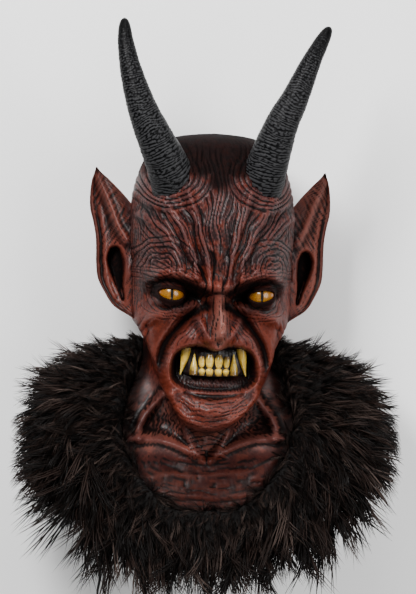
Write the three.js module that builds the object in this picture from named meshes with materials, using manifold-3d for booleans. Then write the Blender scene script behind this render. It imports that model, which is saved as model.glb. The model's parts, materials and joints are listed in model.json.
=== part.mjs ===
// Over-the-head demon mask: a hollow latex skin with pointed ears, a neck and a chest bib, two ridged horns,
// glossy slit-pupilled eyes, a row of bared teeth and a long-haired fur collar round the bib's hem.
// The mask lies on its back, as it does when nobody wears it. X runs across the face, Y from the chest to the
// horns and Z up out of the face. Millimetres, degrees. Y counts from a line 36 mm below the bib's hem.
import * as THREE from "three";
import Module from "manifold-3d";
import { mergeVertices } from "three/addons/utils/BufferGeometryUtils.js";

const wasm = await Module();
wasm.setup();

// Driving dimensions
const wall = 4; // latex, measured square to the surface
const moulding = 0.6; // added to the wall, so that it stays full where facets cut across curves
const gap = 0.3; // clearance between two pieces that touch
const floorHeight = 0; // what the back of the mask lies on
const squareness = 0.87; // 1 makes each cross-section an ellipse, less makes it boxier
const faceCrowding = 0.38; // 0 spreads a ring's points evenly over the front, more draws them to the middle
const turn = { yaw: 5, roll: 1.5, neckY: 143, startY: 150, fullY: 215, axisZ: 115 }; // head against chest
const eye = { x: 47.2, y: 314.4, z: 177, ball: 14.2, lid: 16.7, wide: 13.4, upper: 4.9, lower: 6, tilt: 5.5 };
const mouth = { y: 237, halfWide: 46, halfHigh: 25, dip: 6, dipWide: 12, deep: 21 };
const lipRing = { y: 231, halfWide: 50, above: 36, below: 56, wide: 4.4, high: 8 };
const nose = { lean: 3.5, y: 285, reach: 24 }; // the nose bends a little to one side
const ear = { bottomY: 285, tipY: 446.6, rootX: 80, rootZ: 116, lean: 0.6, tilt: 0.12, thick: 7 };
const horn = { baseRadius: 26.4, taper: 0.78, sides: 10, rings: 20, ridge: 0.9 };
const fur = { columns: 42, inset: 3, fringe: 41, corner: 32, tuft: 8, backHigh: 13, wave: 2.5, overhang: 16 };
const furRise = { front: 21, side: 3, back: -9, shoulder: 14 };

const rad = THREE.MathUtils.degToRad;
const clamp = THREE.MathUtils.clamp;

// Smooth step from 0 at a to 1 at b.
function ease(a, b, x) {
  const t = clamp((x - a) / (b - a), 0, 1);
  return t * t * (3 - 2 * t);
}

// One value of a Catmull-Rom spline through evenly spaced values, at place t counted in values.
function splineValue(values, t) {
  const last = values.length - 1;
  const i = Math.min(Math.floor(clamp(t, 0, last)), last - 1);
  const f = clamp(t, 0, last) - i;
  const at = (k) => values[clamp(k, 0, last)];
  const [a, b, c, d] = [at(i - 1), at(i), at(i + 1), at(i + 2)];
  return b + 0.5 * f * (c - a + f * (2 * a - 5 * b + 4 * c - d + f * (3 * (b - c) + d - a)));
}

// A smooth curve through [x, y] or [x, y, z] points, as a list of count + 1 points.
function smoothPath(points, count) {
  const last = points.length - 1;
  return Array.from({ length: count + 1 }, (_, k) =>
    points[0].map((_, axis) => splineValue(points.map((p) => p[axis]), (last * k) / count)),
  );
}

// The skin's cross-sections from the crown down to the hem of the bib. Each is a closed ring whose height
// differs at the front, the sides and the back, so that rings follow the jaw line and the hem.
const sections = [
  // name, y at front, sides, back, half width, z at front, back, widest place
  ["crown", 485, 485, 485, 0, 105, 105, 105],
  ["crown edge", 482, 480, 480, 42, 140, 68, 104],
  ["upper dome", 472, 467, 466, 65, 166, 36, 102],
  ["horn roots", 452, 445, 440, 77, 181, 16, 102],
  ["hair line", 428, 420, 412, 84, 192, 0, 102],
  ["forehead", 400, 395, 385, 86.5, 198, -8, 103],
  ["lower forehead", 368, 366, 358, 86, 201, -8, 104],
  ["brow", 338, 340, 332, 84.5, 201, 0, 105],
  ["eyes", 315, 324, 310, 84.5, 193, 9, 106],
  ["nose", 285, 312, 292, 85, 188, 16, 106],
  ["upper lip", 262, 304, 279, 85, 186, 21, 106],
  ["bite", 237, 298, 270, 84.5, 186, 25, 105],
  ["lower lip", 212, 293, 263, 83.5, 187, 27, 104],
  ["chin", 190, 289, 258, 82, 187, 28, 103],
  ["jaw line", 173, 284, 254, 79, 177, 29, 100],
  ["under the jaw", 170, 275, 250, 71, 152, 30, 96],
  ["neck top", 166, 265, 245, 69, 140, 30, 92],
  ["neck", 156, 252, 232, 76, 136, 28, 90],
  ["neck foot", 146, 238, 214, 98, 138, 24, 88],
  ["shoulder", 132, 222, 190, 124, 146, 18, 88],
  ["upper bib", 112, 200, 160, 146, 155, fur.backHigh + 2, 88],
  ["lower bib", 76, 168, 110, 158, 166, fur.backHigh + 1, 88],
  ["hem", 36, 138, 56, 160, 174, fur.backHigh + 1, 88],
];
const ringNumber = Object.fromEntries(sections.map((s, i) => [s[0], i]));
const hemRing = ringNumber.hem;
const sectionColumns = [1, 2, 3, 4, 5, 6, 7].map((k) => sections.map((s) => s[k]));

// A point of the plain skin: t counts sections from the crown, u is the angle round from the face's middle.
function plainSkin(t, u) {
  const [yFront, ySide, yBack, halfWide, zFront, zBack, zWide] = sectionColumns.map((c) => splineValue(c, t));
  const c = Math.cos(u);
  const s = Math.sin(u);
  const reach = c >= 0 ? zFront - zWide : zWide - zBack;
  const yEnd = c >= 0 ? yFront : yBack;
  return new THREE.Vector3(
    halfWide * Math.sign(s) * Math.abs(s) ** squareness,
    ySide + (yEnd - ySide) * c * c,
    zWide + reach * Math.sign(c) * Math.abs(c) ** squareness,
  );
}

// The outward normal of the plain skin.
function plainNormal(t, u) {
  const d = 1e-3;
  const alongT = plainSkin(Math.min(t + d, hemRing), u).sub(plainSkin(Math.max(t - d, 0), u));
  const alongU = plainSkin(t, u + d).sub(plainSkin(t, u - d));
  const normal = alongT.cross(alongU);
  return normal.length() < 1e-9 ? new THREE.Vector3(0, 1, 0) : normal.normalize();
}

// Folds and ridges of the front: a path on the right half, mirrored, with a width and a height.
const noseFolds = [
  { name: "ridge", path: [[0, 321], [0, 304], [0, 288], [0, 272]], wide: 8.5, high: 18 },
  { name: "tip", path: [[0, 274], [0, 266], [0, 259]], wide: 7, high: 13 },
  { name: "wing", path: [[2, 257], [9, 264.5], [16, 276], [22, 288]], wide: 4, high: 8 },
];
const faceFolds = [
  {
    name: "brow ridge",
    path: [[16, 321], [22, 325], [30, 330], [47, 336], [61, 335], [70, 330]],
    wide: 8,
    high: 14,
  },
  {
    name: "cheek groove",
    path: [[10, 302], [24, 295], [37, 281], [47.5, 267], [54, 253], [55.5, 236], [50.5, 216]],
    wide: 5.5,
    high: -11,
  },
  {
    name: "outer cheek groove",
    path: [[70, 278], [69, 266], [66, 247], [60, 229], [55, 216]],
    wide: 3.5,
    high: -4,
  },
  { name: "cheek bone", path: [[17, 300], [35, 299], [52, 295], [62, 290]], wide: 7, high: 9 },
  { name: "eye bag", path: [[24, 304], [44, 300], [64, 306]], wide: 4, high: 4 },
  { name: "lip groove", path: [[0, 208], [16, 209], [28, 213]], wide: 4, high: -6 },
  { name: "inner forehead fold", path: [[9.5, 320], [11, 340], [19, 376], [33, 420]], wide: 4.6, high: 6.5 },
  { name: "middle forehead fold", path: [[23, 332], [27, 352], [41, 386], [59, 412]], wide: 4.6, high: 6 },
  { name: "outer forehead fold", path: [[39, 342], [47, 362], [63, 385], [78, 396]], wide: 5, high: 4.5 },
];
const chestFolds = [
  { name: "neck cord", path: [[50, 208], [58, 197], [67, 185], [72, 173], [71, 163]], wide: 4.5, high: 8 },
  { name: "collar bone", path: [[88, 164], [71, 163], [48, 162], [24, 153], [3, 140]], wide: 5.5, high: 9 },
  { name: "under the collar bone", path: [[84, 155], [64, 154], [42, 151], [20, 142]], wide: 9, high: 4 },
  { name: "throat cord", path: [[34, 196], [27, 180], [20, 163], [8, 148]], wide: 4, high: 6 },
  { name: "chest fold", path: [[0, 122], [30, 126], [62, 121]], wide: 5, high: 2.2 },
  { name: "lower chest fold", path: [[0, 101], [30, 104], [60, 100]], wide: 5, high: 1.8 },
];

// Round swellings and hollows: centre on the right half, mirrored, with radii and a height.
const faceMounds = [
  { name: "eye socket", at: [46, 312], radii: [25, 13], high: -20 },
  { name: "inner corner", at: [20, 310], radii: [9, 11], high: -10 },
  { name: "brow boss", at: [59, 344], radii: [18, 12], high: 5 },
  { name: "nostril", at: [10, 277], radii: [9, 13], high: 7 },
  { name: "upper lip swell", at: [27, 268], radii: [15, 11], high: 8 },
  { name: "cheek hollow", at: [66, 262], radii: [12, 22], high: -3 },
  { name: "chin", at: [0, 191], radii: [24, 14], high: 10 },
  { name: "temple hollow", at: [74, 352], radii: [12, 22], high: -3 },
];
const chestMounds = [
  { name: "hollow over the collar bone", at: [46, 178], radii: [17, 13], high: -11 },
  { name: "throat", at: [0, 165], radii: [14, 18], high: 8 },
  { name: "throat notch", at: [0, 142], radii: [8, 7], high: -6 },
  { name: "breast", at: [44, 136], radii: [30, 8], high: -4 },
];
for (const fold of [...noseFolds, ...faceFolds, ...chestFolds]) fold.line = smoothPath(fold.path, 14);

// Distance from a point to a list of points joined by straight lines.
function distanceTo(line, x, y) {
  let least = Infinity;
  for (let i = 1; i < line.length; i++) {
    const [ax, ay] = line[i - 1];
    const [bx, by] = line[i];
    const [ex, ey] = [bx - ax, by - ay];
    const t = clamp(((x - ax) * ex + (y - ay) * ey) / (ex * ex + ey * ey), 0, 1);
    least = Math.min(least, Math.hypot(x - ax - t * ex, y - ay - t * ey));
  }
  return least;
}

// The summed height of folds and mounds over the plain skin.
function reliefOf(folds, mounds, x, y) {
  const ax = Math.abs(x);
  let high = 0;
  for (const f of folds) high += f.high * Math.exp(-((distanceTo(f.line, ax, y) / f.wide) ** 2));
  for (const m of mounds) {
    const far = ((ax - m.at[0]) / m.radii[0]) ** 2 + ((y - m.at[1]) / m.radii[1]) ** 2;
    high += m.high * Math.exp(-far);
  }
  return high;
}

// How far a point is out of the mouth's opening, 1 on its edge, which dips under the nose.
function mouthReach(x, y) {
  const high = mouth.halfHigh - (y > mouth.y ? mouth.dip * Math.exp(-((x / mouth.dipWide) ** 2)) : 0);
  return (Math.abs(x / mouth.halfWide) ** 3 + Math.abs((y - mouth.y) / high) ** 3) ** (1 / 3);
}

// About how many millimetres a point is outside the ring of flesh round the mouth and under the chin.
function offRing(x, y) {
  const high = y > lipRing.y ? lipRing.above : lipRing.below;
  return (Math.hypot(x / lipRing.halfWide, (y - lipRing.y) / high) - 1) * lipRing.halfWide * 0.85;
}

// The relief of the face: folds, nose, the ring round the mouth, which dies out under the nose, the mouth's
// recess and its swollen lower lip.
function faceRelief(x, y) {
  const inMouth = 1 - ease(0.82, 1.06, mouthReach(x, y));
  const lip = 10 * Math.exp(-((x / 35) ** 4) - ((y - 219.5) / 9.5) ** 2);
  const noseX = x - nose.lean * Math.exp(-(((y - nose.y) / nose.reach) ** 2));
  const underNose = 1 - 0.85 * ease(240, 262, y);
  const ring = lipRing.high * Math.exp(-((offRing(x, y) / lipRing.wide) ** 2)) * underNose;
  const skin = reliefOf(faceFolds, faceMounds, x, y) + reliefOf(noseFolds, [], noseX, y) + ring;
  return skin * (1 - inMouth) + (lip - mouth.deep) * inMouth;
}

// How far a point is out of the almond between the lids, whose outer corners are drawn up, 1 on its edge.
function almondReach(x, y) {
  const dx = Math.abs(x) - eye.x;
  const dy = y - eye.y - dx * Math.tan(rad(eye.tilt));
  const high = (dy > 0 ? eye.upper : eye.lower) * (1 - 0.35 * Math.min((dx / eye.wide) ** 2, 1.5));
  return Math.hypot(dx / eye.wide, dy / high);
}

// The face's relief with the lids over the eye's ball laid on it.
function lidRelief(x, y, baseZ, face) {
  const off = Math.hypot(Math.abs(x) - eye.x, y - eye.y);
  const dome = Math.sqrt(Math.max(eye.lid ** 2 - off ** 2, 0));
  const open = 1 - ease(0.85, 1.1, almondReach(x, y));
  const share = 1 - ease(eye.lid * 0.78, eye.lid * 1.2, off);
  const lid = (eye.z + dome) * (1 - open) + (eye.z + 4) * open - baseZ;
  return Math.max(face * (1 - share) + lid * share, face - 60 * open);
}

// The whole relief at ring t, angle u, over the plain point p.
function relief(t, u, p) {
  const chestShare = ease(ringNumber["jaw line"] + 0.3, ringNumber["under the jaw"], t);
  let high = 0;
  if (chestShare < 1) high += lidRelief(p.x, p.y, p.z, faceRelief(p.x, p.y)) * (1 - chestShare);
  if (chestShare > 0) high += reliefOf(chestFolds, chestMounds, p.x, p.y) * chestShare;
  return high * ease(0, 0.3, Math.cos(u));
}

// The plain point moved out by a relief: straight up on the face, square to the surface at the sides.
function lifted(t, u, p, high) {
  const side = 1 - ease(0.35, 0.75, Math.cos(u));
  const way = new THREE.Vector3(0, 0, 1 - side).addScaledVector(plainNormal(t, u), side).normalize();
  return p.clone().addScaledVector(way, high);
}

// Turns the head a little against the chest, as it lies.
function turnHead(p) {
  const share = ease(turn.startY, turn.fullY, p.y);
  const yaw = rad(turn.yaw) * share;
  const roll = rad(turn.roll) * share;
  const z = p.z - turn.axisZ;
  const x = p.x * Math.cos(yaw) + z * Math.sin(yaw);
  const y = p.y - turn.neckY;
  return new THREE.Vector3(
    x * Math.cos(roll) + y * Math.sin(roll),
    turn.neckY + y * Math.cos(roll) - x * Math.sin(roll),
    Math.max(turn.axisZ + z * Math.cos(yaw) - p.x * Math.sin(yaw), floorHeight),
  );
}

// Angles round a ring: close together on the face, wider at the back.
function ringAngles(front, back) {
  const angles = [];
  for (let i = 0; i < front; i++) {
    const w = (2 * i) / front - 1;
    angles.push(rad(90) * ((1 - faceCrowding) * w + faceCrowding * w ** 3));
  }
  for (let i = 0; i < back; i++) angles.push(rad(90 + (180 * i) / back));
  return angles;
}

// Places along the skin from spans of [first section, last section, steps].
function ringPlaces(spans) {
  const places = [];
  for (const [from, to, steps] of spans)
    for (let i = 0; i < steps; i++) places.push(from + ((to - from) * i) / steps);
  places.push(spans.at(-1)[1]);
  return places;
}

// A solid from rings of points that all have the same count. A ring of one point is a pole. The ends are
// closed by fans, or joined to each other when the rings go round a loop.
function solidFromRings(rings, loop = false) {
  const points = [];
  const triangles = [];
  const starts = rings.map((ring) => {
    const start = points.length;
    points.push(...ring);
    return start;
  });
  const count = Math.max(...rings.map((r) => r.length));
  const corner = (ring, n) => starts[ring] + (rings[ring].length === 1 ? 0 : n);
  const join = (a, b) => {
    for (let j = 0; j < count; j++) {
      const k = (j + 1) % count;
      const [aj, ak, bj, bk] = [corner(a, j), corner(a, k), corner(b, j), corner(b, k)];
      if (aj === ak) triangles.push(aj, bj, bk);
      else if (bj === bk) triangles.push(aj, bj, ak);
      else if (points[aj].distanceTo(points[bk]) < points[ak].distanceTo(points[bj]))
        triangles.push(aj, bj, bk, aj, bk, ak);
      else triangles.push(aj, bj, ak, ak, bj, bk);
    }
  };
  for (let i = 1; i < rings.length; i++) join(i - 1, i);
  if (loop) join(rings.length - 1, 0);
  for (const end of loop ? [] : [0, rings.length - 1]) {
    if (rings[end].length === 1) continue;
    const centre = new THREE.Vector3();
    rings[end].forEach((p) => centre.addScaledVector(p, 1 / count));
    points.push(centre);
    for (let j = 0; j < count; j++) {
      const edge = [starts[end] + j, starts[end] + ((j + 1) % count)];
      if (end === 0) edge.reverse();
      triangles.push(points.length - 1, edge[1], edge[0]);
    }
  }
  return solidOf(points, triangles);
}

// A manifold solid from points and triangles, turned the right way out.
function solidOf(points, triangles) {
  const mesh = (order) =>
    new wasm.Mesh({
      numProp: 3,
      vertProperties: new Float32Array(points.flatMap((p) => [p.x, p.y, p.z])),
      triVerts: new Uint32Array(order),
    });
  const made = new wasm.Manifold(mesh(triangles));
  if (made.volume() > 0) return made;
  const turned = [];
  for (let i = 0; i < triangles.length; i += 3) turned.push(triangles[i], triangles[i + 2], triangles[i + 1]);
  return new wasm.Manifold(mesh(turned));
}

// The largest of the separate bodies of a solid.
function largest(solid) {
  return solid.decompose().sort((a, b) => b.volume() - a.volume())[0];
}

// The outside of the skin as a filled solid, grown by offset along its normals.
function outerSkin(offset) {
  const angles = ringAngles(30, 10);
  const spans = [[0, 4, 5], [4, 7, 4], [7, 9, 9], [9, 12, 12], [12, 15, 7], [15, 20, 6], [20, hemRing, 2]];
  const places = ringPlaces(spans);
  const grid = places.map((t) =>
    angles.map((u) => {
      const p = plainSkin(t, u);
      return turnHead(lifted(t, u, p, relief(t, u, p)));
    }),
  );
  const grown = grid.map((row, i) =>
    row.map((p, j) => {
      if (offset === 0) return p;
      const across = grid[i][(j + 1) % row.length].clone().sub(grid[i][(j + row.length - 1) % row.length]);
      const down = grid[Math.min(i + 1, grid.length - 1)][j].clone().sub(grid[Math.max(i - 1, 0)][j]);
      const normal = down.cross(across).normalize();
      return p.clone().addScaledVector(i === 0 ? new THREE.Vector3(0, 1, 0) : normal, offset);
    }),
  );
  grown[0] = [grown[0][0]];
  return solidFromRings(grown);
}

// The hollow of the skin, which runs out past the hem. It follows the outside at one wall's distance, and
// where the outside is narrow, as in the nose, it stays at the lowest height round about.
function skinHollow() {
  const angles = ringAngles(14, 6);
  const places = ringPlaces([[0, 6, 5], [6, 9, 3], [9, 14, 6], [14, 20, 4], [20, hemRing, 2]]);
  const spread = 8;
  const pastHem = 40;
  const grid = places.map((t) =>
    angles.map((u) => {
      const p = plainSkin(t, u);
      let least = relief(t, u, p);
      for (let k = 0; k < 8; k++) {
        const near = p.clone();
        near.x += spread * Math.cos(rad(45 * k));
        near.y += spread * Math.sin(rad(45 * k));
        least = Math.min(least, relief(t, u, near));
      }
      const inner = turnHead(lifted(t, u, p, least).addScaledVector(plainNormal(t, u), -wall - moulding));
      return inner.setZ(Math.max(inner.z, floorHeight + wall));
    }),
  );
  const past = grid.at(-1).map((p) => p.clone().setY(p.y - pastHem));
  grid[0] = [grid[0][0]];
  return solidFromRings([...grid, past]);
}

// Half outline of an ear: how far its rim and its root stand from the middle, from the lobe to the tip.
const earRim = [80, 101.5, 111.5, 118.5, 120.5, 120.8, 121.5, 124, 127.5, 128, 126.5, 122.5];
const earRoot = [68, 71, 73, 74, 75, 75, 76, 78, 82, 93, 107, 121.2];
const earRidge = [[121, 437], [113, 419], [107, 405], [100, 386], [91, 370]];
const earRoll = { at: 0.93, wide: 0.1, high: 4 };
const earHollow = { x: 99.5, y: 348, wide: 8.5, high: 17, deep: 16 };

// Height of the ear's front over its leaning plane: rolled rim, inner ridge and hollow.
function earRelief(x, y, across) {
  const rim = earRoll.high * Math.exp(-(((across - earRoll.at) / earRoll.wide) ** 2));
  const ridge = earRoll.high * Math.exp(-((distanceTo(earRidge, x, y) / 5) ** 2));
  const [dx, dy] = [(x - earHollow.x) / earHollow.wide, (y - earHollow.y) / earHollow.high];
  return (rim + ridge) * ease(0, 0.3, across) - earHollow.deep * Math.exp(-(dx ** 4) - dy ** 4);
}

// One ear as a cupped leaf, rooted inside the head. side is 1 or -1.
function earSolid(side) {
  const rows = 13;
  const across = 5;
  const rings = [];
  for (let i = 0; i <= rows; i++) {
    const along = (i / rows) * (earRim.length - 1);
    const [rim, root] = [splineValue(earRim, along), splineValue(earRoot, along)];
    const y = ear.bottomY + ((ear.tipY - ear.bottomY) * i) / rows;
    const thick = ear.thick * (1 - 0.45 * (i / rows));
    const at = (a, back) => {
      const x = root + (rim - root) * a;
      const z = ear.rootZ - ear.lean * (x - ear.rootX) - ear.tilt * (y - earHollow.y);
      const front = earRelief(x, y, a);
      const cup = Math.min(front, 0) * 0.8;
      const edge = Math.sqrt(1 - a * a * 0.75);
      return turnHead(new THREE.Vector3(side * x, y, back ? z + cup - thick * edge : z + front));
    };
    const ring = [];
    for (let j = 0; j <= across; j++) ring.push(at(j / across, false));
    for (let j = across; j >= 0; j--) ring.push(at(j / across, true));
    rings.push(ring);
  }
  return solidFromRings(rings);
}

// Centre lines of the horns, root to tip, on the head before it turns. The two stand differently.
const hornLines = {
  horn_left: [
    [-41, 416, 150],
    [-50.5, 441.5, 170],
    [-68.5, 476, 184],
    [-83.5, 508, 187.5],
    [-95, 543.5, 186],
    [-101.7, 576, 181],
    [-103.3, 601, 174],
  ],
  horn_right: [
    [40, 416, 150],
    [48.5, 444, 170],
    [62, 490, 185],
    [77.7, 524, 187.5],
    [92, 558, 185],
    [102.5, 579, 180],
    [113, 598, 173],
  ],
};

// Radius of a horn at share t of its length.
function hornRadius(t) {
  return horn.baseRadius * (1 - horn.taper * t) * (1 - t ** 20);
}

// One horn, round in section, with its rings square to its centre line.
function hornSolid(line) {
  const curve = new THREE.CatmullRomCurve3(line.map((p) => new THREE.Vector3(...p)));
  const rings = [];
  for (let i = 0; i <= horn.rings; i++) {
    const t = i / horn.rings;
    const [centre, ahead] = [curve.getPointAt(t), curve.getTangentAt(t)];
    const out = new THREE.Vector3(0, 0, 1).cross(ahead).normalize();
    const up = ahead.clone().cross(out);
    const radius = hornRadius(t) + (i % 2 ? horn.ridge : -horn.ridge) * (1 - t);
    const ring = [];
    for (let k = 0; k < horn.sides; k++) {
      const a = (2 * Math.PI * k) / horn.sides;
      const p = centre.clone().addScaledVector(out, radius * Math.cos(a));
      ring.push(turnHead(p.addScaledVector(up, radius * Math.sin(a))));
    }
    rings.push(i === horn.rings ? [turnHead(centre)] : ring);
  }
  return solidFromRings(rings);
}

// One eye, a ball that the lids cut down to what shows.
function eyeSolid(side) {
  const ball = new THREE.SphereGeometry(eye.ball, 16, 10);
  const middle = turnHead(new THREE.Vector3(side * eye.x, eye.y, eye.z));
  ball.translate(middle.x, middle.y, middle.z);
  return solidOfGeometry(ball);
}

// A manifold solid from a closed three.js geometry.
function solidOfGeometry(geometry) {
  const bare = new THREE.BufferGeometry().setAttribute("position", geometry.getAttribute("position"));
  bare.setIndex(geometry.index);
  const merged = mergeVertices(bare, 1e-3);
  const at = merged.getAttribute("position");
  const points = Array.from({ length: at.count }, (_, i) => new THREE.Vector3().fromBufferAttribute(at, i));
  const triangles = [];
  for (let i = 0; i < merged.index.count; i += 3) {
    const [a, b, c] = [0, 1, 2].map((k) => merged.index.getX(i + k));
    if (a !== b && b !== c && a !== c) triangles.push(a, b, c);
  }
  return solidOf(points, triangles);
}

// Teeth of the right half: root and tip in the face plane, width at the root and how deep the tooth stands.
const teeth = [
  { name: "upper canine", root: [28.5, 264], tip: [34.5, 229.5], wide: 12.2, deep: 11 },
  { name: "lower canine", root: [21, 230], tip: [20.5, 252.5], wide: 9.6, deep: 10 },
  { name: "upper middle incisor", root: [4.8, 252], tip: [4.9, 237.6], wide: 7.8, deep: 9, blunt: 0.85 },
  { name: "upper outer incisor", root: [13.2, 250], tip: [12.8, 238], wide: 6.2, deep: 9, blunt: 0.8 },
  { name: "lower middle incisor", root: [4.6, 229], tip: [4.6, 237.2], wide: 6.8, deep: 9, blunt: 0.9 },
  { name: "lower outer incisor", root: [12.2, 229.5], tip: [12.4, 237], wide: 5.6, deep: 9, blunt: 0.85 },
];
const arch = { midZ: 180, radius: 55, inset: 2 }; // the curve that the teeth stand on
const gum = { y: 241, halfWide: 37, high: 18, front: -4.5, back: -11 };

function archZ(x) {
  return arch.midZ - arch.radius + Math.sqrt(arch.radius ** 2 - x * x);
}

// One tooth: a rounded peg, pointed or blunt, set a little behind the arch. side is 1 or -1.
function toothSolid(tooth, side) {
  const steps = tooth.blunt ? 1 : 3;
  const sides = tooth.blunt ? 5 : 6;
  const blunt = tooth.blunt ?? 0.12;
  const rings = [];
  for (let i = 0; i <= steps; i++) {
    const t = i / steps;
    const x = tooth.root[0] + (tooth.tip[0] - tooth.root[0]) * (tooth.blunt ? t : t ** 1.6);
    const y = tooth.root[1] + (tooth.tip[1] - tooth.root[1]) * t;
    const size = 1 - (1 - blunt) * t ** 1.4;
    const ring = [];
    for (let k = 0; k < sides; k++) {
      const a = (2 * Math.PI * k) / sides;
      const px = side * (x + (tooth.wide / 2) * size * Math.cos(a));
      const pz = archZ(x) - arch.inset + (tooth.deep / 2) * size * Math.sin(a);
      ring.push(turnHead(new THREE.Vector3(px, y, pz)));
    }
    rings.push(ring);
  }
  return solidFromRings(rings);
}

// The gum that carries the teeth, a bowed bar behind them.
function gumSolid() {
  const rings = [];
  const steps = 6;
  for (let i = 0; i <= steps; i++) {
    const share = (2 * i) / steps - 1;
    const x = gum.halfWide * share;
    const z = archZ(x);
    const high = gum.high - 5 * Math.abs(share) ** 3;
    const corners = [[high, gum.front], [high, gum.back], [-high * 0.7, gum.back], [-high * 0.7, gum.front]];
    rings.push(corners.map(([dy, dz]) => turnHead(new THREE.Vector3(x, gum.y + dy, z + dz))));
  }
  return solidFromRings(rings);
}

// Where the fur starts on the skin at angle u, counted in sections.
function furStart(u) {
  const c = Math.cos(u);
  return c >= 0 ? Math.min(15.8 + 5 * c ** 1.4, 20.7) : 15.8 - 1.2 * c;
}

// The fur collar: one closed ring of even thickness laid round the bib, with tufts along its edge.
function collarSolid() {
  const rings = [];
  for (let j = 0; j < fur.columns; j++) {
    const u = (2 * Math.PI * j) / fur.columns;
    const side = Math.sin(u) ** 2;
    const back = ease(0, -0.6, Math.cos(u));
    const odd = j % 2 ? 1 : -1;
    const start = furStart(u);
    const place = (share) => start + (hemRing - start) * share;
    const rise = furRise.front + furRise.side * side + furRise.back * back;
    const atCorner = Math.sin(2 * u) ** 2 * ease(0, 0.5, Math.cos(u));
    const fringe = fur.fringe * (1 - 0.45 * side) + fur.corner * atCorner;
    const ring = [];
    for (const share of [0, 0.33, 0.66, 1])
      ring.push(plainSkin(place(share), u).addScaledVector(plainNormal(place(share), u), -fur.inset));
    const hem = plainSkin(hemRing, u);
    const flow = hem.clone().sub(plainSkin(hemRing - 0.4, u)).normalize();
    const outward = plainNormal(hemRing, u);
    const lean = 0.3 + 0.55 * side;
    const ahead = flow.clone().multiplyScalar(Math.sqrt(1 - lean * lean)).addScaledVector(outward, lean);
    ring.push(hem.clone().addScaledVector(ahead, fringe * 0.55));
    ring.push(hem.clone().addScaledVector(ahead, fringe + fur.tuft * odd));
    for (const [share, high] of [[1, 1], [0.72, 1.08], [0.42, 1.02], [0.18, 0.85], [0.04, 0.4]]) {
      const t = place(share);
      const bump = share > 0.1 ? fur.wave * odd : 0;
      const lower = plainSkin(Math.min(t + 0.2, hemRing), u);
      const down = lower.sub(plainSkin(Math.max(t - 0.2, 0), u)).normalize();
      const shoulder = furRise.shoulder * side * Math.sin(Math.PI * share);
      const p = plainSkin(t, u).addScaledVector(plainNormal(t, u), rise * high + shoulder + bump);
      ring.push(p.addScaledVector(down, fur.overhang * share * (1 + 0.6 * odd * share)));
    }
    rings.push(ring.map(turnHead));
  }
  return solidFromRings(rings, true);
}

// Put together: the pieces are cut to their neighbours, with the clearance between them.
const ears = [earSolid(1), earSolid(-1)];
const skin = outerSkin(0).add(ears[0]).add(ears[1]).subtract(skinHollow());
const cutter = outerSkin(gap).add(outerSkin(0)).add(ears[0]).add(ears[1]);
const teethSolid = [1, -1]
  .flatMap((side) => teeth.map((tooth) => toothSolid(tooth, side)))
  .reduce((all, tooth) => all.add(tooth), gumSolid());

function material(color, roughness) {
  return new THREE.MeshStandardMaterial({ color, roughness, metalness: 0 });
}
const latex = material(0x7a3028, 0.55);
const hornBlack = material(0x2a2a2b, 0.5);
const eyeYellow = material(0xd8a01e, 0.12);
const toothIvory = material(0xc9b45a, 0.25);
const furBrown = material(0x1d1512, 0.95);

function meshOf(name, solid, look) {
  const { vertProperties, triVerts, numProp } = solid.getMesh();
  const at = new Float32Array((vertProperties.length / numProp) * 3);
  for (let i = 0; i * numProp < vertProperties.length; i++)
    for (let k = 0; k < 3; k++) at[i * 3 + k] = vertProperties[i * numProp + k];
  const geometry = new THREE.BufferGeometry().setAttribute("position", new THREE.BufferAttribute(at, 3));
  geometry.setIndex(new THREE.BufferAttribute(triVerts, 1));
  geometry.computeVertexNormals();
  const mesh = new THREE.Mesh(geometry, look);
  mesh.name = name;
  return mesh;
}

const mask = new THREE.Group();
mask.add(meshOf("mask_skin", largest(skin), latex));
for (const [name, line] of Object.entries(hornLines))
  mask.add(meshOf(name, largest(hornSolid(line).subtract(cutter)), hornBlack));
mask.add(meshOf("eye_left", largest(eyeSolid(-1).subtract(cutter)), eyeYellow));
mask.add(meshOf("eye_right", largest(eyeSolid(1).subtract(cutter)), eyeYellow));
mask.add(meshOf("teeth", largest(teethSolid.subtract(cutter)), toothIvory));
mask.add(meshOf("fur_collar", largest(collarSolid().subtract(cutter)), furBrown));

// The origin is on the floor under the middle of the mask.
const box = new THREE.Box3().setFromObject(mask, true);
mask.position.set(-(box.min.x + box.max.x) / 2, -(box.min.y + box.max.y) / 2, -box.min.z);

export default mask;
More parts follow.
